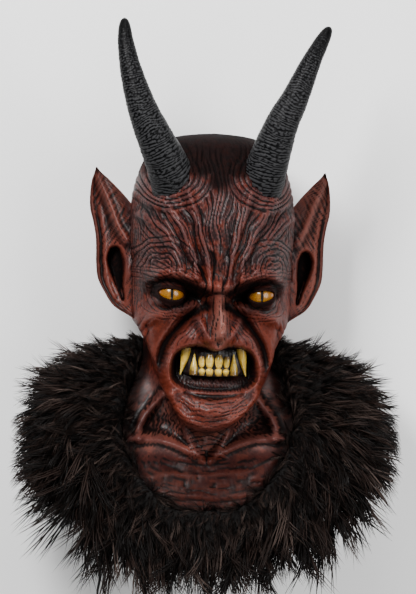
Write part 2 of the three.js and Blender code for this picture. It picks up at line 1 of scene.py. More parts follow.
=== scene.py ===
import json
import math
import bmesh
import bpy
import numpy as np
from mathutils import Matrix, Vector

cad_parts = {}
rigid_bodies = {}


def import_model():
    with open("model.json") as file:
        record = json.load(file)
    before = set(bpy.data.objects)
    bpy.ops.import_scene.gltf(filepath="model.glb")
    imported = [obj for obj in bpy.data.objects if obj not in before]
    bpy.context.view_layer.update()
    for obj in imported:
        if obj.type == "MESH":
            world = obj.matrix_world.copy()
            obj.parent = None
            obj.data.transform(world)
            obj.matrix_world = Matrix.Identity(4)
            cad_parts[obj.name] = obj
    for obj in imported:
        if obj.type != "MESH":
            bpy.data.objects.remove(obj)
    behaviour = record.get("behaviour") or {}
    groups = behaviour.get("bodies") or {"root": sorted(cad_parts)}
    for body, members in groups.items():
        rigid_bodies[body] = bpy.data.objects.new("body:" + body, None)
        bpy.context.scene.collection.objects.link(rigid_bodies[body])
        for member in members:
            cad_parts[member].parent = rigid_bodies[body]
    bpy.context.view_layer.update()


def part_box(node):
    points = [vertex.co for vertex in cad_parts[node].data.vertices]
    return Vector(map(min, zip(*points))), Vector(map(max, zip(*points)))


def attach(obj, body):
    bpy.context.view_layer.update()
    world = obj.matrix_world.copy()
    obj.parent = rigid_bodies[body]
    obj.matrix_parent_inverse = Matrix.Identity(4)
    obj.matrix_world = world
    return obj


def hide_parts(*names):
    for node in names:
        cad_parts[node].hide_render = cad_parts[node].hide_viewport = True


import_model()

# The mask lies face up. Sculpting is done in millimetres, with Y up the face from a line 36 mm below the hem
# and Z up from the floor, and every finished mesh is moved into the frame in metres.
hemHeight = 36.0
skinLow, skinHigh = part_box("mask_skin")
shift = np.array([(skinLow[0] + skinHigh[0]) / 2, skinLow[1] - hemHeight / 1000, 0.0])

head = {  # how the head is set on the chest, as it lies
    "yaw": 5.0, "roll": 1.5, "neckY": 143.0, "startY": 150.0, "fullY": 215.0, "axisZ": 115.0,
    "squareness": 0.87, "wall": 4.0,
}


# Numbers and patterns
def clamped(x):
    return np.clip(x, 0, 1)


def ease(a, b, x):
    t = clamped((x - a) / (b - a))
    return t * t * (3 - 2 * t)


def fade(a, b, x):
    return 1 - ease(a, b, x)


def bump(distance, width):
    return np.exp(-((distance / width) ** 2))


def mound(x, y, centre, radii):
    return np.exp(-(((x - centre[0]) / radii[0]) ** 2) - ((y - centre[1]) / radii[1]) ** 2)


def most(*values):
    return np.maximum.reduce(values)


def turns(count):  # even angles once round
    return 2 * math.pi * np.arange(count) / count


def pointsAt(x, y, z):
    return np.stack(np.broadcast_arrays(x, y, z), -1)


def unit(vectors):
    return vectors / np.maximum(np.linalg.norm(vectors, axis=-1, keepdims=True), 1e-9)


def splineAt(values, t):
    values = np.asarray(values, float)
    last = len(values) - 1
    t = np.clip(np.asarray(t, float), 0, last)
    i = np.minimum(t.astype(int), last - 1)
    f = t - i
    if values.ndim > 1:
        f = f[..., None]
    a, b, c, d = (values[np.clip(i + k, 0, last)] for k in (-1, 0, 1, 2))
    return b + 0.5 * f * (c - a + f * (2 * a - 5 * b + 4 * c - d + f * (3 * (b - c) + d - a)))


def smoothPath(points, count):
    return splineAt(points, np.linspace(0, len(points) - 1, count + 1))


def distanceTo(line, x, y):
    least = np.full(np.broadcast(x, y).shape, 1e9)
    for (ax, ay), (bx, by) in zip(line[:-1], line[1:]):
        ex, ey = bx - ax, by - ay
        t = np.clip(((x - ax) * ex + (y - ay) * ey) / (ex * ex + ey * ey), 0, 1)
        least = np.minimum(least, np.hypot(x - ax - t * ex, y - ay - t * ey))
    return least


def grain(x, y, seed=0):  # gradient noise, about -1 to 1, with cells of 1 by 1
    x, y = np.broadcast_arrays(np.asarray(x, float), np.asarray(y, float))
    cellX, cellY = np.floor(x), np.floor(y)
    fx, fy = x - cellX, y - cellY
    cellX, cellY = cellX.astype(np.int64), cellY.astype(np.int64)

    def corner(dx, dy):
        key = (cellX + dx) * 374761393 + (cellY + dy) * 668265263 + seed * 974634777
        key = (key ^ (key >> 13)) * 1274126177
        angle = ((key ^ (key >> 16)) & 1023) * (2 * math.pi / 1024)
        return np.cos(angle) * (fx - dx) + np.sin(angle) * (fy - dy)

    sx, sy = (f * f * f * (f * (f * 6 - 15) + 10) for f in (fx, fy))
    low, high = (corner(0, row) * (1 - sx) + corner(1, row) * sx for row in (0, 1))
    return (low * (1 - sy) + high * sy) * 1.5


def wrinkles(across, along, seed, sharp=0.26, order=0.7):
    # Round folds about 1 apart, between thin valleys that run along and now and then part or join, with finer
    # creases on them. 0 in a valley and 1 on a fold.
    warp = 0.75 * grain(across * 0.4, along, seed)
    field = order * np.sin(math.pi * (across + warp))
    field = field + 1.3 * (1 - order) * grain(across * 1.1, along * 1.3, seed + 1)
    creases = np.exp(-np.abs(grain(across * 3.6, along * 2.2, seed + 2)) / 0.12)
    return 1 - np.exp(-np.abs(field) / sharp) - 0.2 * creases


# Cross-sections of the skin from the crown to the hem of the bib: y at the front, the sides and the back,
# half width, z at the front and the back, and z where the ring is widest.
sections = {
    "crown": (485, 485, 485, 0, 105, 105, 105),
    "crown edge": (482, 480, 480, 42, 140, 68, 104),
    "upper dome": (472, 467, 466, 65, 166, 36, 102),
    "horn roots": (452, 445, 440, 77, 181, 16, 102),
    "hair line": (428, 420, 412, 84, 192, 0, 102),
    "forehead": (400, 395, 385, 86.5, 198, -8, 103),
    "lower forehead": (368, 366, 358, 86, 201, -8, 104),
    "brow": (338, 340, 332, 84.5, 201, 0, 105),
    "eyes": (315, 324, 310, 84.5, 193, 9, 106),
    "nose": (285, 312, 292, 85, 188, 16, 106),
    "upper lip": (262, 304, 279, 85, 186, 21, 106),
    "bite": (237, 298, 270, 84.5, 186, 25, 105),
    "lower lip": (212, 293, 263, 83.5, 187, 27, 104),
    "chin": (190, 289, 258, 82, 187, 28, 103),
    "jaw line": (173, 284, 254, 79, 177, 29, 100),
    "under the jaw": (170, 275, 250, 71, 152, 30, 96),
    "neck top": (166, 265, 245, 69, 140, 30, 92),
    "neck": (156, 252, 232, 76, 136, 28, 90),
    "neck foot": (146, 238, 214, 98, 138, 24, 88),
    "shoulder": (132, 222, 190, 124, 146, 18, 88),
    "upper bib": (112, 200, 160, 146, 155, 15, 88),
    "lower bib": (76, 168, 110, 158, 166, 14, 88),
    "hem": (36, 138, 56, 160, 174, 14, 88),
}
sectionNumbers = np.array(list(sections.values()), float)
ringAt = {name: number for number, name in enumerate(sections)}
hemRing = ringAt["hem"]


def plainSkin(t, u):  # t counts sections from the crown, u is the angle round from the middle of the face
    yFront, ySide, yBack, halfWide, zFront, zBack, zWide = np.moveaxis(splineAt(sectionNumbers, t), -1, 0)
    c, s = np.cos(u), np.sin(u)
    reach = np.where(c >= 0, zFront - zWide, zWide - zBack)
    yEnd = np.where(c >= 0, yFront, yBack)
    return pointsAt(halfWide * np.sign(s) * np.abs(s) ** head["squareness"], ySide + (yEnd - ySide) * c * c,
                    zWide + reach * np.sign(c) * np.abs(c) ** head["squareness"])


def plainNormal(t, u):
    d = 1e-3
    alongT = plainSkin(np.minimum(t + d, hemRing), u) - plainSkin(np.maximum(t - d, 0), u)
    return unit(np.cross(alongT, plainSkin(t, u + d) - plainSkin(t, u - d)))


def aboutNeck(points):  # places from the neck's axis, with how far the head is turned and tipped at each
    x, y, z = np.moveaxis(points, -1, 0)
    share = ease(head["startY"], head["fullY"], y)
    return x, y - head["neckY"], z - head["axisZ"], *(np.radians(head[k]) * share for k in ("yaw", "roll"))


def turnHead(points):
    x, y, z, yaw, roll = aboutNeck(points)
    turned = x * np.cos(yaw) + z * np.sin(yaw)
    return pointsAt(turned * np.cos(roll) + y * np.sin(roll),
                    head["neckY"] + y * np.cos(roll) - turned * np.sin(roll),
                    np.maximum(head["axisZ"] + z * np.cos(yaw) - x * np.sin(yaw), 0))


def unturnHead(points):  # back to the straight head, for paint that is laid out on it
    x, y, z, yaw, roll = aboutNeck(points)
    flat = x * np.cos(roll) - y * np.sin(roll)
    return pointsAt(flat * np.cos(yaw) - z * np.sin(yaw),
                    head["neckY"] + x * np.sin(roll) + y * np.cos(roll),
                    head["axisZ"] + flat * np.sin(yaw) + z * np.cos(yaw))


# Main forms of the face: folds along paths on the right half, mirrored, each with its width and height, and
# mounds with a centre, two radii and a height.
eye = {"x": 47.2, "y": 314.4, "z": 177.0, "ball": 14.2, "lid": 16.7, "wide": 14.0, "upper": 4.5, "lower": 6.0,
       "tilt": 5.5, "rows": 34, "columns": 64, "widest": math.radians(78)}
mouth = {"y": 237.0, "halfWide": 46.0, "halfHigh": 25.0, "dip": 6.0, "dipWide": 12.0, "deep": 21.0}
lipRing = {"y": 231.0, "halfWide": 50.0, "above": 36.0, "below": 56.0, "wide": 4.4, "high": 8.0}
nose = {"lean": 3.5, "y": 285.0, "reach": 24.0}

noseFolds = {
    "ridge": ([(0, 321), (0, 304), (0, 288), (0, 272)], 8.5, 18),
    "tip": ([(0, 274), (0, 266), (0, 259)], 7, 13),
    "wing": ([(2, 257), (9, 264.5), (16, 276), (22, 288)], 4, 8),
}
faceFolds = {
    "brow ridge": ([(16, 321), (22, 325), (30, 330), (47, 335), (60, 334)], 8, 13),
    "cheek groove": ([(10, 302), (24, 295), (37, 281), (47.5, 267), (54, 253), (55.5, 236), (50.5, 216)],
                     5.5, -11),
    "outer cheek groove": ([(70, 278), (69, 266), (66, 247), (60, 229), (55, 216)], 3.5, -4),
    "cheek bone": ([(17, 300), (35, 299), (52, 295), (62, 290)], 7, 9),
    "eye bag": ([(24, 304), (44, 300), (64, 306)], 4, 4),
    "lip groove": ([(0, 208), (16, 209), (28, 213)], 4, -6),
    "inner forehead fold": ([(9.5, 320), (11, 340), (19, 376), (33, 420)], 4.6, 6.5),
    "middle forehead fold": ([(23, 332), (27, 352), (41, 386), (59, 412)], 4.6, 6),
    "outer forehead fold": ([(39, 342), (47, 362), (63, 385), (78, 396)], 5, 4.5),
}
faceMounds = {
    "eye socket": ((46, 312), (25, 13), -20),
    "inner corner": ((20, 310), (9, 11), -10),
    "brow boss": ((59, 344), (18, 12), 5),
    "nostril": ((10, 277), (9, 13), 7),
    "upper lip swell": ((27, 268), (15, 11), 8),
    "cheek hollow": ((66, 262), (12, 22), -3),
    "chin": ((0, 191), (24, 14), 10),
    "temple hollow": ((74, 352), (12, 22), -3),
}
chestFolds = {
    "neck cord": ([(50, 208), (58, 197), (67, 185), (72, 173), (71, 163)], 4.5, 8),
    "collar bone": ([(80, 164), (71, 163), (48, 162), (24, 153), (3, 140)], 4.8, 8),
    "under the collar bone": ([(84, 155), (64, 154), (42, 151), (20, 142)], 9, 4),
    "throat cord": ([(34, 196), (27, 180), (20, 163), (8, 148)], 4, 6),
    "chest fold": ([(0, 122), (30, 126), (62, 121)], 4, 1.5),
    "lower chest fold": ([(0, 101), (30, 104), (60, 100)], 4, 1.3),
}
chestMounds = {
    "hollow over the collar bone": ((46, 178), (17, 13), -9),
    "throat": ((0, 165), (14, 18), 8),
    "throat notch": ((0, 142), (8, 7), -6),
    "breast": ((44, 136), (30, 9), -2.5),
}


def fromFold(path, x, y, count=10):
    return distanceTo(smoothPath(path, count), np.abs(x), y)


def reliefOf(folds, mounds, x, y):
    high = np.zeros_like(x)
    for path, wide, tall in folds.values():
        high += tall * bump(fromFold(path, x, y, 14), wide)
    for centre, radii, tall in mounds.values():
        high += tall * mound(np.abs(x), y, centre, radii)
    return high


def mouthReach(x, y):  # 1 on the mouth's edge, which dips under the nose
    high = mouth["halfHigh"] - np.where(y > mouth["y"], mouth["dip"] * bump(x, mouth["dipWide"]), 0)
    return (np.abs(x / mouth["halfWide"]) ** 3 + np.abs((y - mouth["y"]) / high) ** 3) ** (1 / 3)


def ringReach(x, y):  # 1 on the ring of flesh that runs round the mouth and under the chin
    high = np.where(y > lipRing["y"], lipRing["above"], lipRing["below"])
    return np.hypot(x / lipRing["halfWide"], (y - lipRing["y"]) / high)


def offRing(x, y):  # about how many millimetres a point is outside that ring
    return (ringReach(x, y) - 1) * lipRing["halfWide"] * 0.85


def fromNose(x, y):  # sideways from the nose's ridge, which leans
    return x - nose["lean"] * bump(y - nose["y"], nose["reach"])


def faceRelief(x, y):
    inMouth = fade(0.82, 1.06, mouthReach(x, y))
    lip = 10 * np.exp(-((x / 35) ** 4) - ((y - 219.5) / 9.5) ** 2)
    skin = reliefOf(faceFolds, faceMounds, x, y) + reliefOf(noseFolds, {}, fromNose(x, y), y)
    skin += lipRing["high"] * bump(offRing(x, y), lipRing["wide"]) * (1 - 0.85 * ease(240, 262, y))
    return skin * (1 - inMouth) + (lip - mouth["deep"]) * inMouth


def almondReach(x, y):  # 1 on the edge between the lids, whose outer corners are drawn up
    power = 2.3
    dx = np.abs(x) - eye["x"]
    dy = y - eye["y"] - dx * math.tan(math.radians(eye["tilt"]))
    side = np.minimum((dx / eye["wide"]) ** 2, 1.5)
    high = np.where(dy > 0, eye["upper"] * (1 - 0.1 * side), eye["lower"] * (1 - 0.35 * side))
    return (np.abs(dx / eye["wide"]) ** power + np.abs(dy / high) ** power) ** (1 / power)


def lidRelief(x, y, baseZ, face):  # the face's relief with the lids over the eye's ball laid on it
    off = np.hypot(np.abs(x) - eye["x"], y - eye["y"])
    dome = np.sqrt(np.maximum(eye["lid"] ** 2 - off ** 2, 0))
    opened = fade(0.85, 1.1, almondReach(x, y))
    share = fade(eye["lid"] * 0.78, eye["lid"] * 1.2, off)
    lid = (eye["z"] + dome) * (1 - opened) + (eye["z"] + 4) * opened - baseZ
    return np.maximum(face * (1 - share) + lid * share, face - 60 * opened)


def onChest(t):
    return ease(ringAt["jaw line"] + 0.3, ringAt["under the jaw"], t)


def relief(t, u, p):
    x, y, z = np.moveaxis(p, -1, 0)
    high = lidRelief(x, y, z, faceRelief(x, y)) * (1 - onChest(t))
    high += reliefOf(chestFolds, chestMounds, x, y) * onChest(t)
    return high * ease(0, 0.3, np.cos(u))


def lifted(t, u, p, high):  # straight up on the face, square to the surface at the sides
    side = fade(0.35, 0.75, np.cos(u))[..., None]
    return p + unit(np.array([0, 0, 1.0]) * (1 - side) + plainNormal(t, u) * side) * high[..., None]


# Fine relief: wrinkles that follow the flow of each part of the face, each with a weight and a pattern.
fine = {"forehead": 2.9, "frown": 4.2, "brow": 2.8, "brow lines": 2.5, "horn roll": 3.2, "temple": 1.6,
        "nose": 1.5, "muzzle": 1.4, "cheek": 1.2, "under eye": 1.7, "chin": 1.4, "lip": 1.3, "throat": 1.6,
        "hollow": 1.3, "chest": 1.8, "pores": 0.22}
meanFold = 0.62
whorls = {"forehead": (0, 300), "brow": (59, 341), "horn foot": (50, 441)}  # what folds fan out from or circle


def fromWhorl(name, x, y):
    middleX, middleY = whorls[name]
    return x - middleX, y - middleY


def foreheadField(ax, x, y):
    dx, dy = fromWhorl("forehead", x, y)
    r = np.hypot(dx, dy)
    angle = np.arctan2(dx, dy) + 0.05 * grain(x / 26, y / 34, 3)
    root, low, high = (wrinkles(angle / wide, r / long, seed)
                       for wide, long, seed in ((0.26, 50, 9), (0.09, 46, 11), (0.054, 40, 17)))
    start, up = ease(36, 54, r), ease(66, 96, r)
    return (ease(318, 330, y) * fade(455, 478, y) * fade(64, 84, ax),
            (root * (1 - start) + low * start) * (1 - up) + high * up)


def frownField(ax, x, y):  # a few deep upright folds between the brows
    spread = 11.5 * (1 + np.maximum(y - 322, 0) / 55)
    return (ease(315, 321, y) * fade(344, 366, y) * fade(17, 23, ax) * 4,
            wrinkles(x / spread + 0.5 + 0.1 * grain(x / 9, y / 13, 29), y / 40, 30, 0.42, 1.0))


def browField(ax, x, y):
    dx, dy = fromWhorl("brow", ax, y)
    r = np.hypot(dx * 0.95, dy)
    return (ease(330, 340, y) * fade(27, 38, r) * ease(7, 11, r) * ease(20, 34, ax) * 3,
            wrinkles(r / 5.4 + 0.3 * grain(x / 14, y / 14, 21), np.arctan2(dy, dx) * 0.8, 23))


def browLineField(ax, x, y):  # creases along the brow ridge
    path = np.array(faceFolds["brow ridge"][0])
    off = y - np.interp(ax, path[:, 0], path[:, 1])
    return (bump(off - 2, 9) * ease(17, 28, ax) * ease(-8, -4, off) * 1.6,
            wrinkles(off / 4.4 + 0.35 * grain(x / 16, y / 12, 25), x / 24, 27))


def hornRollField(ax, x, y):  # rolls of skin round the foot of each horn
    dx, dy = fromWhorl("horn foot", ax, y)
    r = np.hypot(dx, dy * 1.05)
    return (ease(20, 25, r) * fade(37, 46, r) * fade(440, 456, y) * 14,
            wrinkles(r / 5.8, np.arctan2(dy, dx) * 0.6, 31, 0.3, 0.92))


def noseField(ax, x, y):
    roots = bump(y - 317 - 0.02 * x * x, 6)
    ridges = wrinkles(x / 5.2 + 0.3 * grain(x / 9, y / 12, 41), y / 24, 43)
    arcs = wrinkles((y + 0.03 * x * x) / 4, x / 14, 45)
    return fade(13, 22, ax) * ease(262, 272, y) * fade(316, 326, y) * 1.3, ridges * (1 - roots) + arcs * roots


def underEyeField(ax, x, y):
    out, dy = ax - eye["x"], y - eye["y"]
    dx = out / 1.25
    r = np.hypot(dx, dy)
    weight = ease(11, 14, r) * fade(24, 31, r) * fade(308, 318, y - 0.12 * out) * 1.4
    crow = ease(10, 18, out) * bump(y - 312, 16) * fade(30, 38, out)
    fan = wrinkles(np.arctan2(dy, out) / 0.16, r / 18, 57)
    rings = wrinkles(r / 4.3 + 0.3 * grain(x / 10, y / 10, 58), np.arctan2(dy, dx) * 1.6, 59)
    return np.maximum(weight, crow), np.where(weight > crow, rings, fan)


def lipField(ax, x, y):
    inner = fade(0.9, 1.05, mouthReach(x, y))
    low = inner * fade(224, 230, y)
    rim = bump(offRing(x, y), 9) * (1 - inner)
    creased = wrinkles(np.arctan2(x, y - 236) * 8, ringReach(x, y) * 3, 65)
    pebbled = wrinkles(x / 3.6, y / 3.4, 67, 0.3)
    return np.maximum(low * 1.6, rim * 0.5), np.where(low > 0.2, pebbled, creased)


def fineRelief(t, u, p):
    x, y, z = np.moveaxis(p, -1, 0)
    ax = np.abs(x)
    wrap = (ax + 0.8 * np.maximum(165 - z, 0)) * np.where(x < 0, -1, 1) + 300
    groove = fromFold(faceFolds["cheek groove"][0], x, y)
    place = (ax, x, y)
    fields = {
        "forehead": foreheadField(*place), "frown": frownField(*place), "brow": browField(*place),
        "brow lines": browLineField(*place), "horn roll": hornRollField(*place),
        "temple": (ease(66, 82, ax) * ease(285, 310, y) * fade(440, 470, y),
                   wrinkles(wrap / 6.5 + 0.5 * grain(wrap / 25, y / 25, 35), y / 30, 37)),
        "nose": noseField(*place),
        "muzzle": (ease(9, 15, ax) * fade(42, 52, ax) * ease(254, 261, y) * fade(292, 302, y),
                   wrinkles(groove / 5.2 + 0.3 * grain(x / 14, y / 14, 47), y / 26, 49)),
        "cheek": (ease(40, 54, ax) * fade(282, 300, y) * ease(196, 214, y) * ease(4, 9, groove)
                  * (0.35 + 0.65 * ease(62, 78, ax)),
                  wrinkles(groove / 6.8 + 0.4 * grain(x / 18, y / 22, 51), y / 34, 53)),
        "under eye": underEyeField(*place),
        "chin": (fade(30, 44, ax) * fade(202, 209, y) * ease(166, 174, y) * 1.4,
                 wrinkles(np.hypot(x, y - 255) / 4.6 + 0.35 * grain(x / 12, y / 8, 61),
                          np.arctan2(x, 255 - y) * 4.0, 63)),
        "lip": lipField(*place),
        "throat": (fade(15, 24, ax) * ease(138, 146, y) * fade(176, 184, y) * 1.3,
                   wrinkles((y + 0.012 * x * x) / 5.2, x / 22, 71)),
        "hollow": (ease(20, 30, ax) * fade(66, 78, ax) * ease(160, 166, y) * fade(196, 214, y),
                   wrinkles(x / 4.4 + 0.4 * grain(x / 8, y / 8, 73), y / 5.5, 75, 0.25)),
        "chest": (fade(132, 150, y),
                  wrinkles((y - 0.0022 * x * x) / 6.5 + 0.5 * grain(x / 40, y / 20, 77), x / 34, 79, 0.22)),
    }
    total, high = np.zeros_like(x), np.zeros_like(x)
    for name, (weight, shape) in fields.items():
        weight = weight * (onChest(t) if name in ("throat", "hollow", "chest") else 1 - onChest(t))
        total += weight
        high += weight * (shape - meanFold) * fine[name]
    lidClear = ease(0.95, 1.5, almondReach(x, y))
    deepMouth = fade(0.86, 1.0, mouthReach(x, y)) * ease(224, 230, y) * (1 - onChest(t))
    high = high / np.maximum(total, 1) * lidClear * (1 - 0.5 * deepMouth)
    high += fine["pores"] * grain(wrap / 2.6, y / 2.6, 81) * lidClear
    return high * (0.25 + 0.75 * ease(-0.35, 0.25, np.cos(u)))


# Meshes
def toFrame(points):
    return np.asarray(points) / 1000 + shift


def placed(name, data):
    made = bpy.data.objects.new(name, data)
    bpy.context.scene.collection.objects.link(made)
    return made


def meshOf(name, points, faces, material=None):
    mesh = bpy.data.meshes.new(name)
    mesh.from_pydata(toFrame(points).tolist(), [], faces)
    mesh.update()
    mesh.shade_smooth()
    if material:
        mesh.materials.append(material)
    return placed(name, mesh)


def shellOf(rings):  # points and faces of rings joined one to the next, a pole being a ring of one point
    rings = [np.atleast_2d(ring) for ring in rings]
    faces, columns, a = [], max(len(ring) for ring in rings), 0
    for low, high in zip(rings[:-1], rings[1:]):
        b = a + len(low)
        for j in range(columns):
            k = (j + 1) % columns
            if len(low) == 1:
                faces.append((a, b + j, b + k))
            elif len(high) == 1:
                faces.append((a + j, b, a + k))
            else:
                faces.append((a + j, b + j, b + k, a + k))
        a = b
    return np.concatenate(rings), faces


def capped(rings):  # a pole at each end of a run of rings
    return [rings[0].mean(0), *rings, rings[-1].mean(0)]


def vectorsOf(items, name):
    flat = np.empty(len(items) * 3, np.float32)
    items.foreach_get(name, flat)
    return flat.reshape(-1, 3).astype(float)


def pointsOf(mesh):
    return vectorsOf(mesh.vertices, "co")


def normalsOf(mesh):
    return vectorsOf(mesh.vertex_normals, "vector")


def trianglesOf(mesh):
    mesh.calc_loop_triangles()
    corners = np.empty(len(mesh.loop_triangles) * 3, np.int32)
    mesh.loop_triangles.foreach_get("vertices", corners)
    return pointsOf(mesh)[corners.reshape(-1, 3)]


def facingOut(made):  # turns a closed mesh the right way out
    at = trianglesOf(made.data)
    if np.einsum("ij,ij->i", at[:, 0], np.cross(at[:, 1], at[:, 2])).sum() < 0:
        made.data.flip_normals()
    return made


def castOf(name, rings, material=None):
    return facingOut(meshOf(name, *shellOf(rings), material))


def setValues(mesh, **layers):
    for name, values in layers.items():
        values = np.asarray(values, np.float32)
        kind, field = ("FLOAT", "value") if values.ndim == 1 else ("FLOAT_VECTOR", "vector")
        mesh.attributes.new(name, kind, "POINT").data.foreach_set(field, values.ravel())


def crevices(mesh, rounds):  # how far each point lies under the average of the points round it, in mm
    edges = np.empty(len(mesh.edges) * 2, np.int32)
    mesh.edges.foreach_get("vertices", edges)
    a, b = edges.reshape(-1, 2).T
    at = pointsOf(mesh) * 1000
    count = np.bincount(a, minlength=len(at)) + np.bincount(b, minlength=len(at))
    mean = at.copy()
    for _ in range(rounds):
        total = np.stack([
            np.bincount(a, mean[b, k], len(at)) + np.bincount(b, mean[a, k], len(at)) for k in range(3)
        ], -1)
        mean = 0.4 * mean + 0.6 * total / count[:, None]
    return np.einsum("ij,ij->i", mean - at, normalsOf(mesh))


def meshApplied(made):  # the mesh that the modifiers make, which are taken off
    mesh = bpy.data.meshes.new_from_object(made.evaluated_get(bpy.context.evaluated_depsgraph_get()))
    made.modifiers.clear()
    return mesh


def join(target, other):  # target takes in other, which is deleted
    cut = target.modifiers.new("join", "BOOLEAN")
    cut.object, cut.operation, cut.solver = other, "UNION", "MANIFOLD"
    old = target.data
    target.data = meshApplied(target)
    target.data.name = old.name
    bpy.data.meshes.remove(old)
    bpy.data.objects.remove(other)
    target.data.shade_smooth()


# The skin
skin = {"frontColumns": 236, "backColumns": 36, "innerRows": 26, "insideReach": 8,
        "rows": [(0, 1, 5), (1, 3, 14), (3, 5, 38), (5, 7, 44), (7, 9, 44), (9, 12, 60), (12, 14, 34),
                 (14, 16, 14), (16, 20, 30), (20, 20.7, 12), (20.7, 22, 8)]}


def skinAngles():
    front, back = skin["frontColumns"], skin["backColumns"]
    w = 2 * np.arange(front) / front - 1
    return np.radians(np.concatenate([90 * (0.62 * w + 0.38 * w ** 3), 90 + 180 * np.arange(back) / back]))


def outerSkin():
    t = np.concatenate([a + (b - a) * np.arange(n) / n for a, b, n in skin["rows"]] + [[float(hemRing)]])
    t, u = np.broadcast_arrays(t[:, None], skinAngles())
    plain = plainSkin(t, u)
    sculpted = turnHead(lifted(t, u, plain, relief(t, u, plain)))
    across = np.roll(sculpted, -1, 1) - np.roll(sculpted, 1, 1)
    normal = unit(np.cross(np.gradient(sculpted, axis=0), across))
    normal[0] = (0, 1, 0)
    detail = fineRelief(t, u, plain) * ease(0, 0.8, t) * fade(hemRing - 0.15, hemRing, t)
    points = sculpted + normal * detail[..., None]
    points[..., 2] = np.maximum(points[..., 2], 0)
    return points


def innerSkin():  # the inside follows the deepest of the forms close by
    t = hemRing * np.linspace(1, 0, skin["innerRows"]) ** 0.9
    t, u = np.broadcast_arrays(t[:, None], skinAngles())
    plain = plainSkin(t, u)
    least = relief(t, u, plain)
    for a in turns(8):
        way = np.array([math.cos(a), math.sin(a), 0])
        least = np.minimum(least, relief(t, u, plain + skin["insideReach"] * way))
    inside = turnHead(lifted(t, u, plain, least) - plainNormal(t, u) * (head["wall"] + 0.6))
    inside[..., 2] = np.maximum(inside[..., 2], head["wall"])
    return inside


ear = {"bottomY": 285.0, "tipY": 446.6, "rootZ": 116.0, "lean": 0.6, "thick": 7.0, "rows": 90, "across": 34,
       "rim": [80, 101.5, 111.5, 118.5, 120.5, 120.8, 121.5, 124, 127.5, 128, 126.5, 122.5],
       "root": [68, 71, 73, 74, 75, 75, 76, 78, 82, 93, 107, 121.2],
       "crus": [(121, 437), (113, 419), (107, 405), (100, 386), (91, 370)],
       "concha": [(101, 357, 6), (100.5, 348, 8.6), (98.5, 336, 7), (96, 322, 4), (92.5, 308, 2)], "deep": 16}


def conchaReach(x, y):  # 1 on the edge of the ear's hollow, a drop that runs out towards the lobe
    return np.minimum.reduce([
        np.hypot(x - cx, y - cy) / radius for cx, cy, radius in smoothPath(ear["concha"], 24)])


def rimAt(y):  # how far the ear's outline stands from the middle at height y
    along = (y - ear["bottomY"]) / (ear["tipY"] - ear["bottomY"])
    return splineAt(ear["rim"], along * (len(ear["rim"]) - 1))


def earRelief(x, y, across):
    across = across + 0.022 * grain(x / 14, y / 22, 95) * fade(0.93, 1, across)
    low = ease(300, 312, y) * (0.75 + 0.35 * grain(x / 30, y / 26, 96))
    rim = 3.5 * bump(across - 0.96, 0.06)
    groove = 3.0 * bump(across - 0.90, 0.04) * low * fade(385, 405, y)
    fold = 3.8 * bump(across - 0.80, 0.07) * low * fade(380, 420, y)
    crus = 5.5 * bump(distanceTo(ear["crus"], x, y), 4.5)
    tragus = 4 * mound(x, y, (88, 338), (3.5, 12))
    hollow = ear["deep"] * fade(0.5, 1.25, conchaReach(x, y))
    return (rim + fold + crus + tragus - groove) * ease(0, 0.3, across) - hollow


def earMesh(side):
    i = np.arange(ear["rows"] + 1)[:, None] / ear["rows"]
    rim, root = (splineAt(ear[k], i * (len(ear[k]) - 1)) for k in ("rim", "root"))
    front = np.arange(ear["across"] + 1) / ear["across"]
    a = np.concatenate([front, front[::-3]])
    onBack = np.arange(len(a)) >= len(front)
    x = root + (rim - root) * a
    y = np.broadcast_to(ear["bottomY"] + (ear["tipY"] - ear["bottomY"]) * i, x.shape)
    plane = ear["rootZ"] - ear["lean"] * (x - 80) - 0.12 * (y - 350)
    face = earRelief(x, y, a)
    cup = np.minimum(face, 0) * 0.8
    streaks = wrinkles((x * 0.8 + (y - 400) * 0.5) / 4.2, (y - x) / 40, 91 + side)
    face = face + (streaks - 0.6) * 1.5 * ease(0.02, 0.15, a) * fade(0.9, 0.97, a)
    thick = ear["thick"] * (1 - 0.45 * i)
    z = np.where(onBack, plane + cup - thick * np.sqrt(1 - a * a * 0.75), plane + face)
    return castOf("ear", capped(turnHead(pointsAt(side * x, y, z))))


def makeSkin(material):
    outer, inner = outerSkin(), innerSkin()
    made = castOf("mask_skin_latex", [outer[0, 0], *outer[1:], *inner[:-1], inner[-1, 0]], material)
    for side in (1, -1):
        join(made, earMesh(side))
    paintSkin(made.data)
    return made


